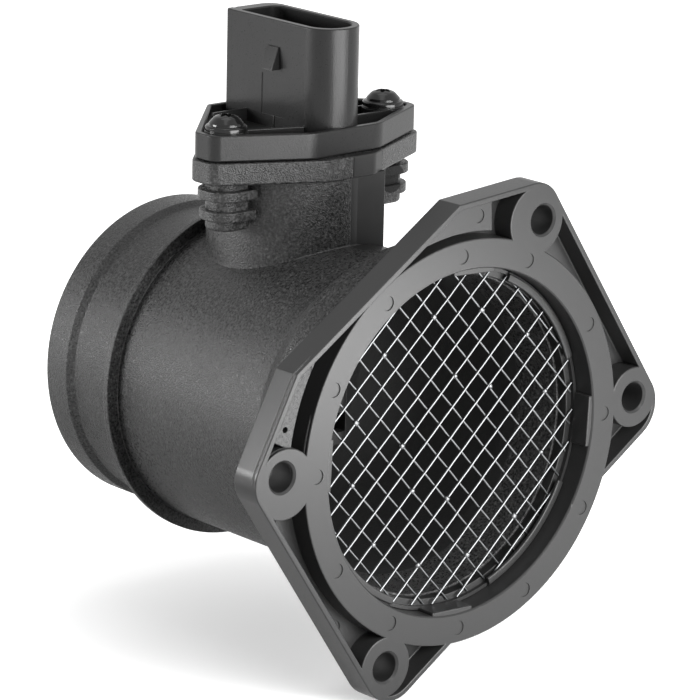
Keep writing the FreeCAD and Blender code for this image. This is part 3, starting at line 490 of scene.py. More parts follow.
def makeHousing():
    h = housing
    body = makeTube()
    combine(body, "UNION", makeFlange())
    print("flange joined to tube")

    y = h["turretY"]
    turret = slabUp("turretWork", circleOutline(h["turretRadius"], 0.0, y, 160), 20.0, 62.0, 0.0, 0.0)
    outline = cornerOutline(rectangle(h["panelLeft"], h["panelFront"], h["panelRight"], y), [0.4, 0.4, 0.2, 0.2], 4)
    panel = slabUp("panelWork", outline, h["panelLow"], h["panelHigh"], 0.0, 0.0)
    combine(body, "UNION", turret, turretFillet(), panel)

    low, high = h["plateBottom"], h["plateTop"]
    outline = cornerOutline(padCorners(*h["plateFront"]), h["plateRadii"] + capRadii[2:], 8)
    plate = slabUp("plateWork", outline, low, high, 0.6, 0.35, 4)
    x0, y0, x1, y1 = h["seam"]
    combine(plate, "DIFFERENCE", boxSlab("seamWork", (x0, y0, low - 1.0), (x1, y1, high + 1.0), 0.05))
    combine(plate, "UNION", *makeTowers())
    combine(body, "UNION", plate)
    print("turret, plate and towers joined")

    hole = slabUp("holeWork", circleOutline(h["sensorHole"], 0.0, y, 128), 10.0, 66.0, 0.0, 0.0)
    combine(body, "DIFFERENCE", makeBoreCutter(), hole)
    for side in (1, -1):
        outline = circleOutline(h["pilotRadius"], h["screwX"] * side, h["screwY"], 32)
        combine(body, "DIFFERENCE", slabUp("pilotWork", outline, 48.0, 66.0, 0.0, 0.0))
    levels = [(-0.5, -h["holeMouth"] - 0.5), (h["holeMouth"], 0.0), (9.0, 0.0)]
    for x, z in boltPlaces():
        combine(body, "DIFFERENCE", stack("boltWork", circleOutline(h["holeRadius"], x, z, 72), levels, flowing()))
    # ejector marks: x, z, start, depth and radius of each
    radius = h["markRadius"]
    marks = [(*polar(h["markRing"], angle), -1.0, h["markDepth"], radius) for angle in h["markAngles"]]
    marks += [(x, z, 4.0, h["pocketDepth"] + 0.25, radius) for x, z in h["pocketMarks"]] + h["landMarks"]
    cutters = [slabFlow("markWork", circleOutline(radius, x, z, 36), low, high, 0.0, 0.08)
               for x, z, low, high, radius in marks]
    combine(body, "DIFFERENCE", join("markWork", cutters))
    for number in range(4):
        outline = cornerOutline(h["ribCorners"], 0.3, 3)
        turn = h["ribTurn"] + 90 * number
        combine(body, "UNION", slabFlow("ribWork", outline, h["ribFront"], h["ribBack"], 0.3, 0.1, turn))
    return finishPiece(body, "flowHousing", ["flow_housing"])


screenRing = {"outer": 44.3, "inner": 41.7, "lip": 41.9, "groove": 43.4, "front": 4.9, "step": 5.4, "wireFront": 5.9,
              "wireBack": 7.0, "back": 9.9, "turn": -2.6, "gap": 22.5, "gapStart": 36.0, "gapEnd": 52.0}


def makeScreenRing():
    s = screenRing
    profile = roundedPath([
        (s["front"], s["lip"], 0.4), (s["front"], 43.8, 0.4), (s["step"], 43.9, 0.1), (s["step"], s["outer"], 0.2),
        (s["back"], s["outer"], 0.1), (s["back"], s["inner"], 0.3), (s["wireBack"], s["inner"], 0.2),
        (s["wireBack"], s["groove"], 0.0), (s["wireFront"], s["groove"], 0.0), (s["wireFront"], s["lip"], 0.2)])
    ring = lathe("ringWork", profile, alongFlow, 256)
    half = math.tan(math.radians(s["gap"]))
    near, far = s["gapStart"], s["gapEnd"]
    corners = [(near, -near * half), (far, -far * half), (far, far * half), (near, near * half)]
    for number in range(4):
        outline = cornerOutline(corners, 0.1, 2)
        cut = slabFlow("ringCut", outline, 3.0, s["wireFront"], 0.0, 0.0, s["turn"] + 90 * number)
        combine(ring, "DIFFERENCE", cut)
    return finishPiece(ring, "screenRing", ["screen_ring"])


screen = {"front": 5.92, "wire": 0.56, "sides": 10, "pressed": 0.06, "turn": -2.53, "pitch": 5.669, "shift": -0.66,
          "reach": 43.2, "perSide": 7, "knotRadius": (0.72, 0.92), "knotMiddle": 0.24, "knotDepth": 0.56,
          "knots": [(10.35, 31.46), (-5.84, 32.2), (-30.75, 9.28), (-31.57, -6.69), (-24.17, -23.35), (-15.36, 0.66),
                    (7.83, -32.26), (32.58, -9.51), (26.19, 22.72), (13.93, 11.15), (33.23, 6.57), (1.83, 15.78),
                    (-8.88, -31.6), (-11.6, -11.7), (0.36, -16.03), (23.82, -24.97), (-22.11, 25.12)]}


def makeScreen():
    # two layers of drawn wires, slightly wavy, pressed together and welded where they cross
    s = screen
    rng = random.Random(5)
    points, faces = [], []
    sides, radius = s["sides"], s["wire"] / 2
    for layer in range(2):
        angle = 45 + s["turn"] + 90 * layer
        along = Vector((math.cos(math.radians(angle)), 0, math.sin(math.radians(angle))))
        across = Vector((-along.z, 0, along.x))
        y = s["front"] + radius + layer * (s["wire"] - s["pressed"])
        for n in range(-s["perSide"], s["perSide"] + 1):
            offset = s["pitch"] * n + s["shift"]
            half = math.sqrt(s["reach"] ** 2 - (abs(offset) + radius) ** 2)
            phase, bend = rng.uniform(0, 6.28), rng.uniform(-0.06, 0.06)
            count = max(6, int(half * 2 / 2.2))
            first = len(points)
            for k in range(count + 1):
                t = -half + 2 * half * k / count
                wave = 0.035 * math.sin(t * 0.55 + phase) + bend * (1 - (t / half) ** 2)
                centre = along * t + across * (offset + wave) + Vector((0, y + 0.02 * math.sin(t * 1.1 + phase), 0))
                for i in range(sides):
                    a = 2 * math.pi * i / sides
                    points.append(centre + (across * math.cos(a) + Vector((0, 1, 0)) * math.sin(a)) * radius)
            faces += sleeveFaces(first, count + 1, sides)
    for x, z in s["knots"]:
        # a small uneven lump of melted wire
        first, size = len(points), rng.uniform(*s["knotRadius"])
        for r in range(1, 6):
            y = s["front"] + s["knotMiddle"] - s["knotDepth"] * math.cos(math.pi * r / 6)
            for i in range(8):
                a, b = polar(size * math.sin(math.pi * r / 6) * rng.uniform(0.8, 1.2), 45 * i)
                points.append(Vector((x + a, y, z + b)))
        faces += sleeveFaces(first, 5, 8)
    wires = meshObject("screenWork", points, faces)
    return finishPiece(wires, "wireScreen", ["wire_screen"], 60.0, False)


sensor = {
    "capBottom": 65.15, "capTop": 71.85, "bossTop": 71.6, "bossRadius": 5.6, "screwHole": 2.7, "inset": 0.6,
    "tray": 2.6, "trayRadii": [1.0, 1.0, 2.0, 2.0, 1.0, 1.0, 2.0, 2.0], "wall": 1.7,
    "shellLeft": -7.3, "shellRight": 8.5, "shellFront": 47.8, "shellBack": 86.8, "shellTop": 97.2, "shellWall": 2.0,
    "socketBack": 82.6, "socketFloor": 75.0, "neckStart": 38.6, "neckRadius": 19.2, "grooveRadius": 17.1,
    "grooveLow": 60.25, "grooveHigh": 62.95, "neckY": 67.5,
    "trayRibs": [(rectangle(-18.4, 77.6, -5.0, 78.5), 72.6),
                 ([(-22.2, 60.4), (-5.0, 54.3), (-5.0, 55.4), (-22.2, 61.5)], 71.75),
                 (rectangle(4.0, 57.8, 26.3, 58.8), 71.7), (rectangle(4.0, 67.0, 26.3, 68.0), 71.35)],
    "latch": [(84.6, -9.9), (90.4, -7.7), (90.4, -6.8), (84.6, -6.8)], "latchFront": 65.3, "latchBack": 69.7,
    "dent": ((-9.0, 62.8, 72.3), (-7.12, 72.0, 82.9)), "slot": ((-5.2, 86.1, 95.6), (-3.9, 88.0, 99.0)),
    "line": ((-7.55, 66.75, 69.2), (-7.0, 67.05, 72.4)),
    "blade": rectangle(-6.5, 50.4, 6.5, 84.6), "bladeLow": -13.0, "bladeHigh": 39.5,
    "sideCuts": [(rectangle(57.1, 8.1, 82.4, 37.4), 5.0, 9.0, 0.3),
                 (rectangle(58.5, 9.5, 81.0, 36.0), -4.0, 6.0, 0.8),
                 (rectangle(52.0, -11.9, 83.0, 6.9), 5.01, 9.0, 0.3),
                 ([(53.4, -10.5), (81.6, -10.5), (81.6, 5.5), (53.4, 5.5), (53.4, -2.4), (75.0, -2.4), (75.0, -4.0),
                   (53.4, -4.0)], -4.01, 6.1, [0.8, 2.5, 2.5, 0.8, 0.2, 0.7, 0.7, 0.2])],
    "boxCuts": [((-3.9, 49.0, -9.4), (4.9, 54.0, -4.1), 0.4), ((-3.95, 64.9, 4.9), (-3.0, 70.1, 10.1), 0.05),
                ((-8.0, 48.0, 21.0), (8.0, 55.4, 31.0), 0.4)],
    "pinFirst": 57.2, "pinPitch": 5.0, "pinSlot": ((0.2, -1.2, 32.0), (1.0, 1.2, 77.0)),
}


def shellOutline(inset, back, radius):
    s = sensor
    left, right = s["shellLeft"] + inset, s["shellRight"] - inset
    end = (right - left) / 2 - 0.02
    radii = [end, end, radius, max(radius - 3.4, 0.5)]
    return cornerOutline(rectangle(left, s["shellFront"] + inset, right, back), radii, 16)


def makeSensorBody():
    s = sensor
    top, shellTop, floor, socketFloor = s["capTop"], s["shellTop"], s["capTop"] - s["tray"], s["socketFloor"]
    screwX, screwY = housing["screwX"], housing["screwY"]
    capOutline = cornerOutline(capCorners(s["inset"]), capRadii, 8)
    body = slabUp("capWork", capOutline, s["capBottom"], top, 0.5, 0.35, 4)
    trayOutline = cornerOutline(capCorners(s["inset"] + s["wall"]), s["trayRadii"], 6)
    levels = [(floor, 0.3), (floor + 0.3, 0.0), (top - 0.3, 0.0), (top, -0.3), (top + 1.0, -0.3)]
    combine(body, "DIFFERENCE", stack("trayWork", trayOutline, levels, standing))
    for side in (1, -1):
        outline = circleOutline(s["bossRadius"], screwX * side, screwY, 64)
        boss = slabUp("bossWork", outline, floor - 1.0, s["bossTop"], 0.0, 0.3)
        combine(boss, "INTERSECT", slabUp("bossKeep", capOutline, 60.0, 75.0, 0.0, 0.0))
        combine(body, "UNION", boss)
    for corners, high in s["trayRibs"]:
        combine(body, "UNION", slabUp("ribWork", cornerOutline(corners, 0.2, 3), floor - 1.0, high, 0.0, 0.25))
    shell = slabUp("shellWork", shellOutline(0.0, s["shellBack"], 4.5), floor - 0.5, shellTop, 0.0, 0.35, 4)
    latch = stack("latchWork", cornerOutline(s["latch"], 0.15, 2),
                  edgeLevels(s["latchFront"], s["latchBack"], 0.15, 0.15), lambda u, v, h: (v, h, u))
    combine(shell, "DIFFERENCE", boxSlab("dentWork", *s["dent"], 0.08), boxSlab("slotWork", *s["slot"], 0.05))
    combine(shell, "UNION", latch, boxSlab("lineWork", *s["line"], 0.05))
    combine(body, "UNION", shell)
    levels = [(socketFloor, 0.4), (socketFloor + 0.4, 0.0), (shellTop - 0.35, 0.0), (shellTop, -0.35),
              (shellTop + 1.0, -0.35)]
    socket = stack("socketWork", shellOutline(s["shellWall"], s["socketBack"], 3.0), levels, standing)
    combine(body, "DIFFERENCE", socket)
    radius, grooveRadius, low, high = s["neckRadius"], s["grooveRadius"], s["grooveLow"], s["grooveHigh"]
    neckPath = [(s["neckStart"], 0.0, 0), (s["neckStart"], radius, 0.4), (low, radius, 0.15),
                (low, grooveRadius, 0.15), (high, grooveRadius, 0.15), (high, radius, 0.15), (66.0, radius, 0),
                (66.0, 0.0, 0)]
    neck = lathe("neckWork", roundedPath(neckPath, False), uprightAt(0.0, s["neckY"]), 96, False)
    blade = slabUp("bladeWork", cornerOutline(s["blade"], 3.0, 8), s["bladeLow"], s["bladeHigh"], 0.5, 0.0)
    combine(body, "UNION", neck, blade)
    cuts = [stack("cutWork", cornerOutline(corners, rounding, 4), [(low, 0.0), (high, 0.0)],
                  lambda u, v, h: (h, u, v)) for corners, low, high, rounding in s["sideCuts"]]
    cuts += [boxSlab("cutWork", low, high, edge) for low, high, edge in s["boxCuts"]]
    (x0, y0, z0), (x1, y1, z1) = s["pinSlot"]
    for number in range(5):
        y = s["pinFirst"] + s["pinPitch"] * number
        cuts.append(boxSlab("cutWork", (x0, y + y0, z0), (x1, y + y1, z1), 0.01))
    for side in (1, -1):
        cuts.append(slabUp("cutWork", circleOutline(s["screwHole"], screwX * side, screwY, 32), 60.0, 75.0, 0.0, 0.0))
    combine(body, "DIFFERENCE", *cuts)
    return finishPiece(body, "sensorBody", ["sensor_body"])


screws = {
    "seat": 71.6, "shank": 2.25, "length": 20.9, "layer": 0.2, "around": 28, "pitch": 1.6, "thread": 0.45,
    "taper": 1.5, "tip": 0.55, "starRadius": 1.75, "starDepth": 0.42,
    "head": [(0.0, 0.0, 0), (0.0, 5.6, 0.2), (0.3, 5.35, 0.1), (1.2, 5.35, 0.1), (1.6, 5.0, 0.3), (1.7, 4.45, 0.15),
             (2.2, 4.4, 0.8), (3.75, 3.0, 1.6), (4.3, 1.2, 1.5), (4.35, 0.0, 0)],
    "recess": [(2.2, 0.25), (2.5, 0.0), (3.9, 0.0), (6.0, -0.3)],
}


def makeScrew(name, node, side, spin):
    s = screws
    x, y, z = housing["screwX"] * side, housing["screwY"], s["seat"]
    head = roundedPath([(z + rise, radius, rounding) for rise, radius, rounding in s["head"]], False)
    screw = lathe("headWork", head, uprightAt(x, y), 72, False)

    def star(inset):
        return [polar(s["starRadius"] + s["starDepth"] * math.cos(6 * math.radians(a)) - inset, a + spin)
                for a in range(0, 360, 5)]
    levels = [(z + rise, inset) for rise, inset in s["recess"]]
    combine(screw, "DIFFERENCE", stack("driveWork", star, levels, lambda u, v, h: (x + u, y + v, h)))
    # shank with a rolled thread: the radius follows a helix
    points = []
    around, count, start = s["around"], int(s["length"] / s["layer"]), z - s["length"]
    for k in range(count + 1):
        low = start + s["length"] * k / count
        taper = s["tip"] + (1 - s["tip"]) * min(1.0, (low - start) / s["taper"])
        for i in range(around):
            turn = (low / s["pitch"] + i / around) % 1.0
            ridge = max(0.0, 1 - abs(turn - 0.5) * 4)
            a, b = polar((s["shank"] - s["thread"] + s["thread"] * ridge) * taper, 360 * i / around)
            points.append((x + a, y + b, low))
    shank = meshObject("shankWork", points, sleeveFaces(0, count + 1, around))
    return finishPiece(join(name, [screw, shank]), name, [node], 35.0)


pins = {"count": 5, "edge": 0.08, "tip": [(-1.6, 0.0), (-0.1, 0.24), (0.0, 0.3)]}


def makePins():
    pieces = []
    for number in range(1, pins["count"] + 1):
        low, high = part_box(f"terminal_pin_{number}")
        x0, y0, z0 = (c * 1000 for c in low)
        x1, y1, z1 = (c * 1000 for c in high)
        levels = [(z0, 0.0)] + [(z1 + rise, inset) for rise, inset in pins["tip"]]
        pin = stack("pinWork", cornerOutline(rectangle(x0, y0, x1, y1), pins["edge"], 2), levels, standing)
        name = f"terminalPin{number}"
        pieces.append(finishPiece(pin, name, [f"terminal_pin_{number}"], 30.0, False))
    return pieces


seal = {"height": 61.6, "radius": 18.3, "thick": 1.17, "sides": 20}


def makeSeal():
    section = [polar(seal["thick"], 360 * k / seal["sides"]) for k in range(seal["sides"])]
    profile = [(seal["height"] + b, seal["radius"] + a) for a, b in section]
    ring = lathe("sealWork", profile, uprightAt(0.0, sensor["neckY"]), 96)
    return finishPiece(ring, "neckSeal", ["neck_seal"], 60.0, False)


print("building meshes")
housingPiece = makeHousing()
ringPiece = makeScreenRing()
screenPiece = makeScreen()
sensorPiece = makeSensorBody()
leftScrew = makeScrew("screwLeft", "screw_left", -1, 12.0)
rightScrew = makeScrew("screwRight", "screw_right", 1, 40.0)
pinPieces = makePins()
sealPiece = makeSeal()


def newMaterial(name):
    material = bpy.data.materials.new(name)
    material.use_nodes = True
    tree = material.node_tree
    tree.nodes.clear()
    output = tree.nodes.new("ShaderNodeOutputMaterial")
    shader = tree.nodes.new("ShaderNodeBsdfPrincipled")
    tree.links.new(shader.outputs["BSDF"], output.inputs["Surface"])
    return material, tree, shader


def addNode(tree, kind, inputs=None, **settings):
    node = tree.nodes.new(kind)
    for key, value in settings.items():
        setattr(node, key, value)
    for key, value in (inputs or {}).items():
        node.inputs[key].default_value = value
    return node


def link(tree, a, b):
    tree.links.new(a, b)


def feed(tree, socket, value):
    # sets a number or a grey colour, or links an output
    if isinstance(value, (int, float)):
        socket.default_value = (value, value, value, 1.0) if socket.type == "RGBA" else value
    elif isinstance(value, tuple):
        socket.default_value = (*value, 1.0)
    else:
        tree.links.new(value, socket)


def mathNode(tree, operation, *values):
    node = addNode(tree, "ShaderNodeMath", operation=operation)
    for socket, value in zip(node.inputs, values):
        feed(tree, socket, value)
    return node.outputs[0]


def mixColour(tree, fac, a, b):
    node = addNode(tree, "ShaderNodeMix", data_type="RGBA")
    for number, value in ((0, fac), (6, a), (7, b)):
        feed(tree, node.inputs[number], value)
    return node.outputs[2]


def mixValue(tree, fac, a, b):
    node = addNode(tree, "ShaderNodeMix", data_type="FLOAT")
    for number, value in ((0, fac), (2, a), (3, b)):
        feed(tree, node.inputs[number], value)
    return node.outputs[0]


def noise(tree, vector, scale, detail=2.0, roughness=0.5):
    node = addNode(tree, "ShaderNodeTexNoise", {"Detail": detail, "Roughness": roughness})
    link(tree, vector, node.inputs["Vector"])
    feed(tree, node.inputs["Scale"], scale)
    return node.outputs["Fac"]


def mapRange(tree, value, low, high, start=0.0, kind="LINEAR"):
    # from start at low to 1 at high
    limits = {"From Min": low, "From Max": high, "To Min": start}
    node = addNode(tree, "ShaderNodeMapRange", limits, interpolation_type=kind)
    link(tree, value, node.inputs["Value"])
    return node.outputs["Result"]


def distanceTo(tree, vector, x, y, z):
    # metres from a point that is given in millimetres
    node = addNode(tree, "ShaderNodeVectorMath", {1: (x * mm, y * mm, z * mm)}, operation="DISTANCE")
    link(tree, vector, node.inputs[0])
    return node.outputs["Value"]


def band(tree, value, low, high, edge):
    # 1 where value lies between low and high, in millimetres, with soft ends
    up = mapRange(tree, value, (low - edge) * mm, (low + edge) * mm)
    down = mapRange(tree, value, (high + edge) * mm, (high - edge) * mm)
    return mathNode(tree, "MULTIPLY", up, down)


def zone(tree, coordinates, bands):
    # 1 inside a box that one band along each axis bounds
    x, y, z = (band(tree, value, *limits) for value, limits in zip(coordinates, bands))
    return mathNode(tree, "MULTIPLY", mathNode(tree, "MULTIPLY", x, y), z)


def bumpNode(tree, height, distance):
    node = addNode(tree, "ShaderNodeBump", {"Strength": 1.0, "Distance": distance * mm})
    link(tree, height, node.inputs["Height"])
    return node.outputs["Normal"]


def newGroup(name, scale, outputs):
    group = bpy.data.node_groups.new(name, "ShaderNodeTree")
    group.interface.new_socket(name="Vector", in_out="INPUT", socket_type="NodeSocketVector")
    group.interface.new_socket(name="Scale", in_out="INPUT", socket_type="NodeSocketFloat").default_value = scale
    for label in outputs:
        group.interface.new_socket(name=label, in_out="OUTPUT", socket_type="NodeSocketFloat")
    start, end = group.nodes.new("NodeGroupInput"), group.nodes.new("NodeGroupOutput")
    return group, start.outputs["Vector"], start.outputs["Scale"], end


def useGroup(tree, group, vector, scale):
    node = addNode(tree, "ShaderNodeGroup", {"Scale": scale}, node_tree=group)
    link(tree, vector, node.inputs["Vector"])
    return node.outputs


grain = {"scale": 2200.0, "fineScale": 0.6, "pits": 0.7, "fine": 0.6, "fineLow": 0.3, "fineHigh": 0.7}


def makeSparkGrain():
    # spark-eroded skin: a height of small craters of uneven size, and its fine part as a mask from 0 to 1
    group, vector, scale, end = newGroup("sparkGrain", grain["scale"], ("Height", "Fine"))
    cells = addNode(group, "ShaderNodeTexVoronoi", {"Randomness": 1.0}, feature="F1")
    link(group, vector, cells.inputs["Vector"])
    link(group, scale, cells.inputs["Scale"])
    fine = noise(group, vector, mathNode(group, "MULTIPLY", scale, grain["fineScale"]), 3.0, 0.6)
    pits = mathNode(group, "MULTIPLY", cells.outputs["Distance"], grain["pits"])
    height = mathNode(group, "ADD", pits, mathNode(group, "MULTIPLY", fine, grain["fine"]))
    link(group, height, end.inputs["Height"])
    link(group, mapRange(group, fine, grain["fineLow"], grain["fineHigh"]), end.inputs["Fine"])
    return group


mottle = {"scale": 60.0, "speckScale": 22.0}


def makeMottle():
    # slow patches and small specks that moulded glass-filled plastic shows, from 0 to 1
    group, vector, scale, end = newGroup("mouldMottle", mottle["scale"], ("Patches", "Specks"))
    link(group, noise(group, vector, scale, 4.0, 0.55), end.inputs["Patches"])
    fast = mathNode(group, "MULTIPLY", scale, mottle["speckScale"])
    link(group, noise(group, vector, fast, 2.0, 0.7), end.inputs["Specks"])
    return group


sparkGrain = makeSparkGrain()
mouldMottle = makeMottle()


def objectPlace(tree):
    # the place on the piece, in metres from the bore's centre
    return tree.nodes.new("ShaderNodeTexCoord").outputs["Object"]


housingLook = {
    "colour": 0.011, "lighter": 0.02, "mottleScale": 70.0, "speckAndGlint": 0.085, "speckPower": 3.0, "flangeColour": 0.022,
    "grainRough": 0.36, "roughSpread": 0.45, "smoothSpread": 0.15, "flangeRough": 0.31, "panelRough": 0.4,
    "grainScale": 2600.0, "grainDepth": 0.13, "smoothGrain": 0.05, "specular": 0.26,
    "insideRadius": 39.2, "paintedInsideShade": 0.006, "insideRough": 0.75, "boltRadius": 3.85,
    "landScale": 900.0, "landColour": 0.12, "landDepth": 6.0,
    "flangeBand": (-5.0, 8.1, 0.05), "flangeColourBand": (-5.0, 7.6, 0.3),
    "panelZone": [(0.42, 13.5, 0.05), (40.0, 46.6, 0.05), (15.0, 66.0, 0.1)],
    "landZone": [(-75.0, -50.0, 0.3), (1.0, 1.5, 0.1), (3.0, 30.0, 2.0)],
}


def housingMaterial():
    material, tree, shader = newMaterial("housingPlastic")
    look = housingLook
    place = objectPlace(tree)
    split = tree.nodes.new("ShaderNodeSeparateXYZ")
    link(tree, place, split.inputs[0])
    x, y, z = split.outputs
    skin = useGroup(tree, sparkGrain, place, look["grainScale"])
    patches = useGroup(tree, mouldMottle, place, look["mottleScale"])["Patches"]
    panel = zone(tree, (x, y, z), look["panelZone"])
    smooth = mathNode(tree, "MAXIMUM", band(tree, y, *look["flangeBand"]), panel)
    grainy = mathNode(tree, "SUBTRACT", 1.0, smooth)
    colour = mixColour(tree, patches, look["colour"], look["lighter"])
    colour = mixColour(tree, band(tree, y, *look["flangeColourBand"]), colour, look["flangeColour"])
    # light specks on the grain's fine tops: glass fibre, and painted glints that stand in for the grain's tiny
    # highlights
    speckAndGlint = mathNode(tree, "MULTIPLY", mathNode(tree, "POWER", skin["Fine"], look["speckPower"]), grainy)
    colour = mixColour(tree, speckAndGlint, colour, look["speckAndGlint"])
    # painted shade: the bore and the bolt holes get a darker colour, and they are also duller
    joined = addNode(tree, "ShaderNodeCombineXYZ")
    link(tree, x, joined.inputs["X"])
    link(tree, z, joined.inputs["Z"])
    across = joined.outputs["Vector"]
    bore = band(tree, distanceTo(tree, across, 0.0, 0.0, 0.0), -1.0, look["insideRadius"], 0.05)
    dark = mathNode(tree, "MULTIPLY", bore, grainy)
    for boltX, boltZ in boltPlaces():
        hole = band(tree, distanceTo(tree, across, boltX, 0.0, boltZ), -1.0, look["boltRadius"], 0.04)
        dark = mathNode(tree, "MAXIMUM", dark, hole)
    colour = mixColour(tree, dark, colour, look["paintedInsideShade"])
    # torn patch on the flange's left raised floor
    torn = mathNode(tree, "MULTIPLY", zone(tree, (x, y, z), look["landZone"]),
                    noise(tree, place, look["landScale"], 4.0, 0.65))
    link(tree, mixColour(tree, torn, colour, look["landColour"]), shader.inputs["Base Color"])
    rough = mixValue(tree, smooth, look["grainRough"], mixValue(tree, panel, look["flangeRough"], look["panelRough"]))
    uneven = mathNode(tree, "MULTIPLY_ADD", skin["Fine"], look["roughSpread"], -0.5 * look["roughSpread"])
    share = mathNode(tree, "MULTIPLY_ADD", grainy, 1.0 - look["smoothSpread"], look["smoothSpread"])
    rough = mathNode(tree, "MULTIPLY_ADD", uneven, share, rough)
    link(tree, mixValue(tree, dark, rough, look["insideRough"]), shader.inputs["Roughness"])
    height = mathNode(tree, "MULTIPLY", skin["Height"], mixValue(tree, smooth, 1.0, look["smoothGrain"]))
    height = mathNode(tree, "MULTIPLY_ADD", torn, look["landDepth"], height)
    link(tree, bumpNode(tree, height, look["grainDepth"]), shader.inputs["Normal"])
    shader.inputs["Specular IOR Level"].default_value = look["specular"]
    return material


plasticLook = {"mottleScale": 90.0, "darker": 0.8, "lighter": 1.25, "roughSpread": 0.16}


def plainPlastic(name, colour, roughness, grainScale, grainDepth, specular=0.3):
    material, tree, shader = newMaterial(name)
    look = plasticLook
    place = objectPlace(tree)
    skin = useGroup(tree, sparkGrain, place, grainScale)
    patches = useGroup(tree, mouldMottle, place, look["mottleScale"])
    tone = mixColour(tree, patches["Patches"], colour * look["darker"], colour * look["lighter"])
    link(tree, tone, shader.inputs["Base Color"])
    spread = look["roughSpread"]
    rough = mathNode(tree, "MULTIPLY_ADD", patches["Specks"], spread, roughness - spread / 2)
    link(tree, rough, shader.inputs["Roughness"])
    link(tree, bumpNode(tree, skin["Height"], grainDepth), shader.inputs["Normal"])
    shader.inputs["Specular IOR Level"].default_value = specular
    return material


metalLook = {"streakScale": 300.0, "darker": 0.82, "roughSpread": 0.22, "smoother": 0.1, "depth": 0.02}


def metalMaterial(name, colour, roughness):
    material, tree, shader = newMaterial(name)
    look = metalLook
    wear = noise(tree, objectPlace(tree), look["streakScale"], 3.0, 0.6)
    tone = mixColour(tree, wear, tuple(c * look["darker"] for c in colour), colour)
    link(tree, tone, shader.inputs["Base Color"])
    rough = mathNode(tree, "MULTIPLY_ADD", wear, look["roughSpread"], roughness - look["smoother"])
    link(tree, rough, shader.inputs["Roughness"])
    shader.inputs["Metallic"].default_value = 1.0
    link(tree, bumpNode(tree, wear, look["depth"]), shader.inputs["Normal"])
    return material


def setMaterial(obj, material):
    obj.data.materials.clear()
    obj.data.materials.append(material)


print("making materials")
sensorPlastic = plainPlastic("sensorPlastic", 0.013, 0.3, 2600.0, 0.02, 0.2)
resin = plainPlastic("chipResin", 0.03, 0.45, 2500.0, 0.03)
capacitor = plainPlastic("capacitorBody", 0.3, 0.5, 1500.0, 0.01)
pinMetal = metalMaterial("pinMetal", (0.75, 0.73, 0.68), 0.3)
screwBlack = plainPlastic("screwBlack", 0.006, 0.15, 1200.0, 0.004, 0.35)
setMaterial(housingPiece, housingMaterial())
setMaterial(ringPiece, plainPlastic("ringPlastic", 0.014, 0.42, 2400.0, 0.04))
setMaterial(screenPiece, metalMaterial("screenWire", (0.16, 0.163, 0.167), 0.38))
setMaterial(sensorPiece, sensorPlastic)
setMaterial(leftScrew, screwBlack)
setMaterial(rightScrew, screwBlack)
setMaterial(sealPiece, plainPlastic("sealRubber", 0.02, 0.5, 1500.0, 0.02))
for pinPiece in pinPieces:
    setMaterial(pinPiece, pinMetal)
for node, material in (("electronics_cover", sensorPlastic), ("channel_cover", sensorPlastic),
                       ("carrier_plate", metalMaterial("carrierMetal", (0.7, 0.71, 0.72), 0.35)),
                       ("circuit_board", plainPlastic("boardCeramic", 0.62, 0.5, 1500.0, 0.01)),
                       ("signal_chip", resin), ("capacitor_1", capacitor), ("capacitor_2", capacitor),
                       ("hot_film_chip", resin), ("air_temperature_sensor", resin)):
    setMaterial(nodes[node], material)


camera = {"place": (-696.13, -744.65, 301.76), "forward": (0.638438, 0.723175, -0.263467),
          "up": (0.156942, 0.212800, 0.964409), "lens": 219.6, "sensor": 36.0, "near": 0.01, "far": 20.0}


def makeCamera():
    data = bpy.data.cameras.new("photoCamera")
    data.lens = camera["lens"]
    data.sensor_width = camera["sensor"]
    data.clip_start = camera["near"]
    data.clip_end = camera["far"]
    obj = newObject("photoCamera", data)
    # the camera looks along its own -Z
    back = -Vector(camera["forward"]).normalized()
    right = Vector(camera["up"]).cross(back).normalized()
    turn = Matrix((right, back.cross(right), back)).transposed().to_4x4()
    obj.matrix_world = Matrix.Translation(Vector(camera["place"]) * mm) @ turn
    bpy.context.scene.camera = obj


# Places and sizes of the lights are in metres.
lights = [
    {"name": "leftPanel", "place": (-0.62, 0.43, 0.17), "aim": (-0.03, 0.06, 0.01), "size": (0.32, 0.2), "power": 5.6},
    {"name": "frontPanel", "place": (0.03, -0.34, 0.04), "aim": (0.0, 0.0, 0.03), "size": (0.36, 0.2), "power": 2.8},
    {"name": "lowPanel", "place": (0.12, -0.2, -0.035), "aim": (-0.05, 0.0, -0.01), "size": (0.1, 0.05), "power": 0.22},
    {"name": "frontTop", "place": (0.03, -0.62, 0.42), "aim": (0.0, 0.03, 0.05), "size": (0.4, 0.3), "power": 5.0},
    {"name": "topSoft", "place": (0.0, 0.1, 0.9), "aim": (0.0, 0.03, 0.0), "size": (0.6, 0.6), "power": 1.5},
]


def makeLights():
    for light in lights:
        data = bpy.data.lights.new(light["name"], "AREA")
        data.shape = "RECTANGLE"
        data.size, data.size_y = light["size"]
        data.energy = light["power"]
        obj = newObject(light["name"], data)
        obj.location = light["place"]
        direction = Vector(light["aim"]) - Vector(light["place"])
        obj.rotation_euler = direction.to_track_quat("-Z", "Y").to_euler()
        obj.visible_camera = False


stage = {"size": 3000.0, "gap": 0.5, "dark": 0.2, "pale": 0.85, "nearGlow": 0.25, "nearReach": 80.0,
         "farReach": 230.0, "shadowPatchCentre": (-70.0, 100.0, -63.0), "shadowPatchGlow": 0.05, "shadowPatchNear": 80.0,
         "shadowPatchFar": 190.0, "roughness": 0.8, "specular": 0.1, "fill": 0.18}


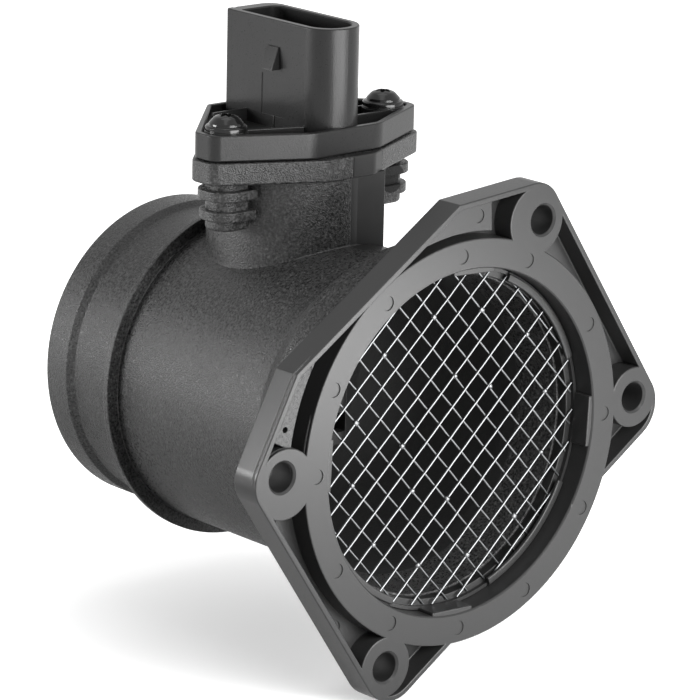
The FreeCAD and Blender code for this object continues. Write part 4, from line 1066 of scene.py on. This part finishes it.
def seenRay(tree):
    # 1 for the rays that show the background: straight to the camera, in a reflection or through glass
    path = tree.nodes.new("ShaderNodeLightPath").outputs
    seen = mathNode(tree, "MAXIMUM", path["Is Camera Ray"], path["Is Glossy Ray"])
    return mathNode(tree, "MAXIMUM", seen, path["Is Transmission Ray"])


def makeStage():
    s = stage
    half, z = s["size"], cadBox[0][2] / mm - s["gap"]
    floor = meshObject("floorSheet", [(*corner, z) for corner in rectangle(-half, -half, half, half)], [(0, 1, 2, 3)])
    material, tree, shader = newMaterial("paleFloor")
    shader.inputs["Roughness"].default_value = s["roughness"]
    shader.inputs["Specular IOR Level"].default_value = s["specular"]
    place = objectPlace(tree)
    paper = mixColour(tree, noise(tree, place, 40.0, 3.0), s["pale"] - 0.02, s["pale"])
    seen = seenRay(tree)
    link(tree, mixColour(tree, seen, s["dark"], paper), shader.inputs["Base Color"])
    # the floor glows more the further it is from the part; reflections see a painted shadow, a dimmer patch of glow
    # under the tube
    direct = mapRange(tree, distanceTo(tree, place, 0.0, 0.0, 0.0), s["nearReach"] * mm, s["farReach"] * mm,
                      s["nearGlow"], "SMOOTHSTEP")
    mirror = mapRange(tree, distanceTo(tree, place, *s["shadowPatchCentre"]), s["shadowPatchNear"] * mm, s["shadowPatchFar"] * mm,
                      s["shadowPatchGlow"], "SMOOTHSTEP")
    glossy = tree.nodes.new("ShaderNodeLightPath").outputs["Is Glossy Ray"]
    glow = mathNode(tree, "MULTIPLY", mixValue(tree, glossy, direct, mirror), seen)
    link(tree, mixColour(tree, glow, 0.0, 1.0), shader.inputs["Emission Color"])
    shader.inputs["Emission Strength"].default_value = 1.0
    setMaterial(floor, material)
    world = bpy.data.worlds.new("studio")
    bpy.context.scene.world = world
    world.use_nodes = True
    tree = world.node_tree
    tree.nodes.clear()
    background = addNode(tree, "ShaderNodeBackground", {"Color": (1, 1, 1, 1)})
    link(tree, mixValue(tree, seenRay(tree), s["fill"], 1.0), background.inputs["Strength"])
    output = tree.nodes.new("ShaderNodeOutputWorld")
    link(tree, background.outputs[0], output.inputs["Surface"])


print("setting the stage")
makeCamera()
makeLights()
makeStage()
bpy.context.scene.view_settings.view_transform = "Standard"
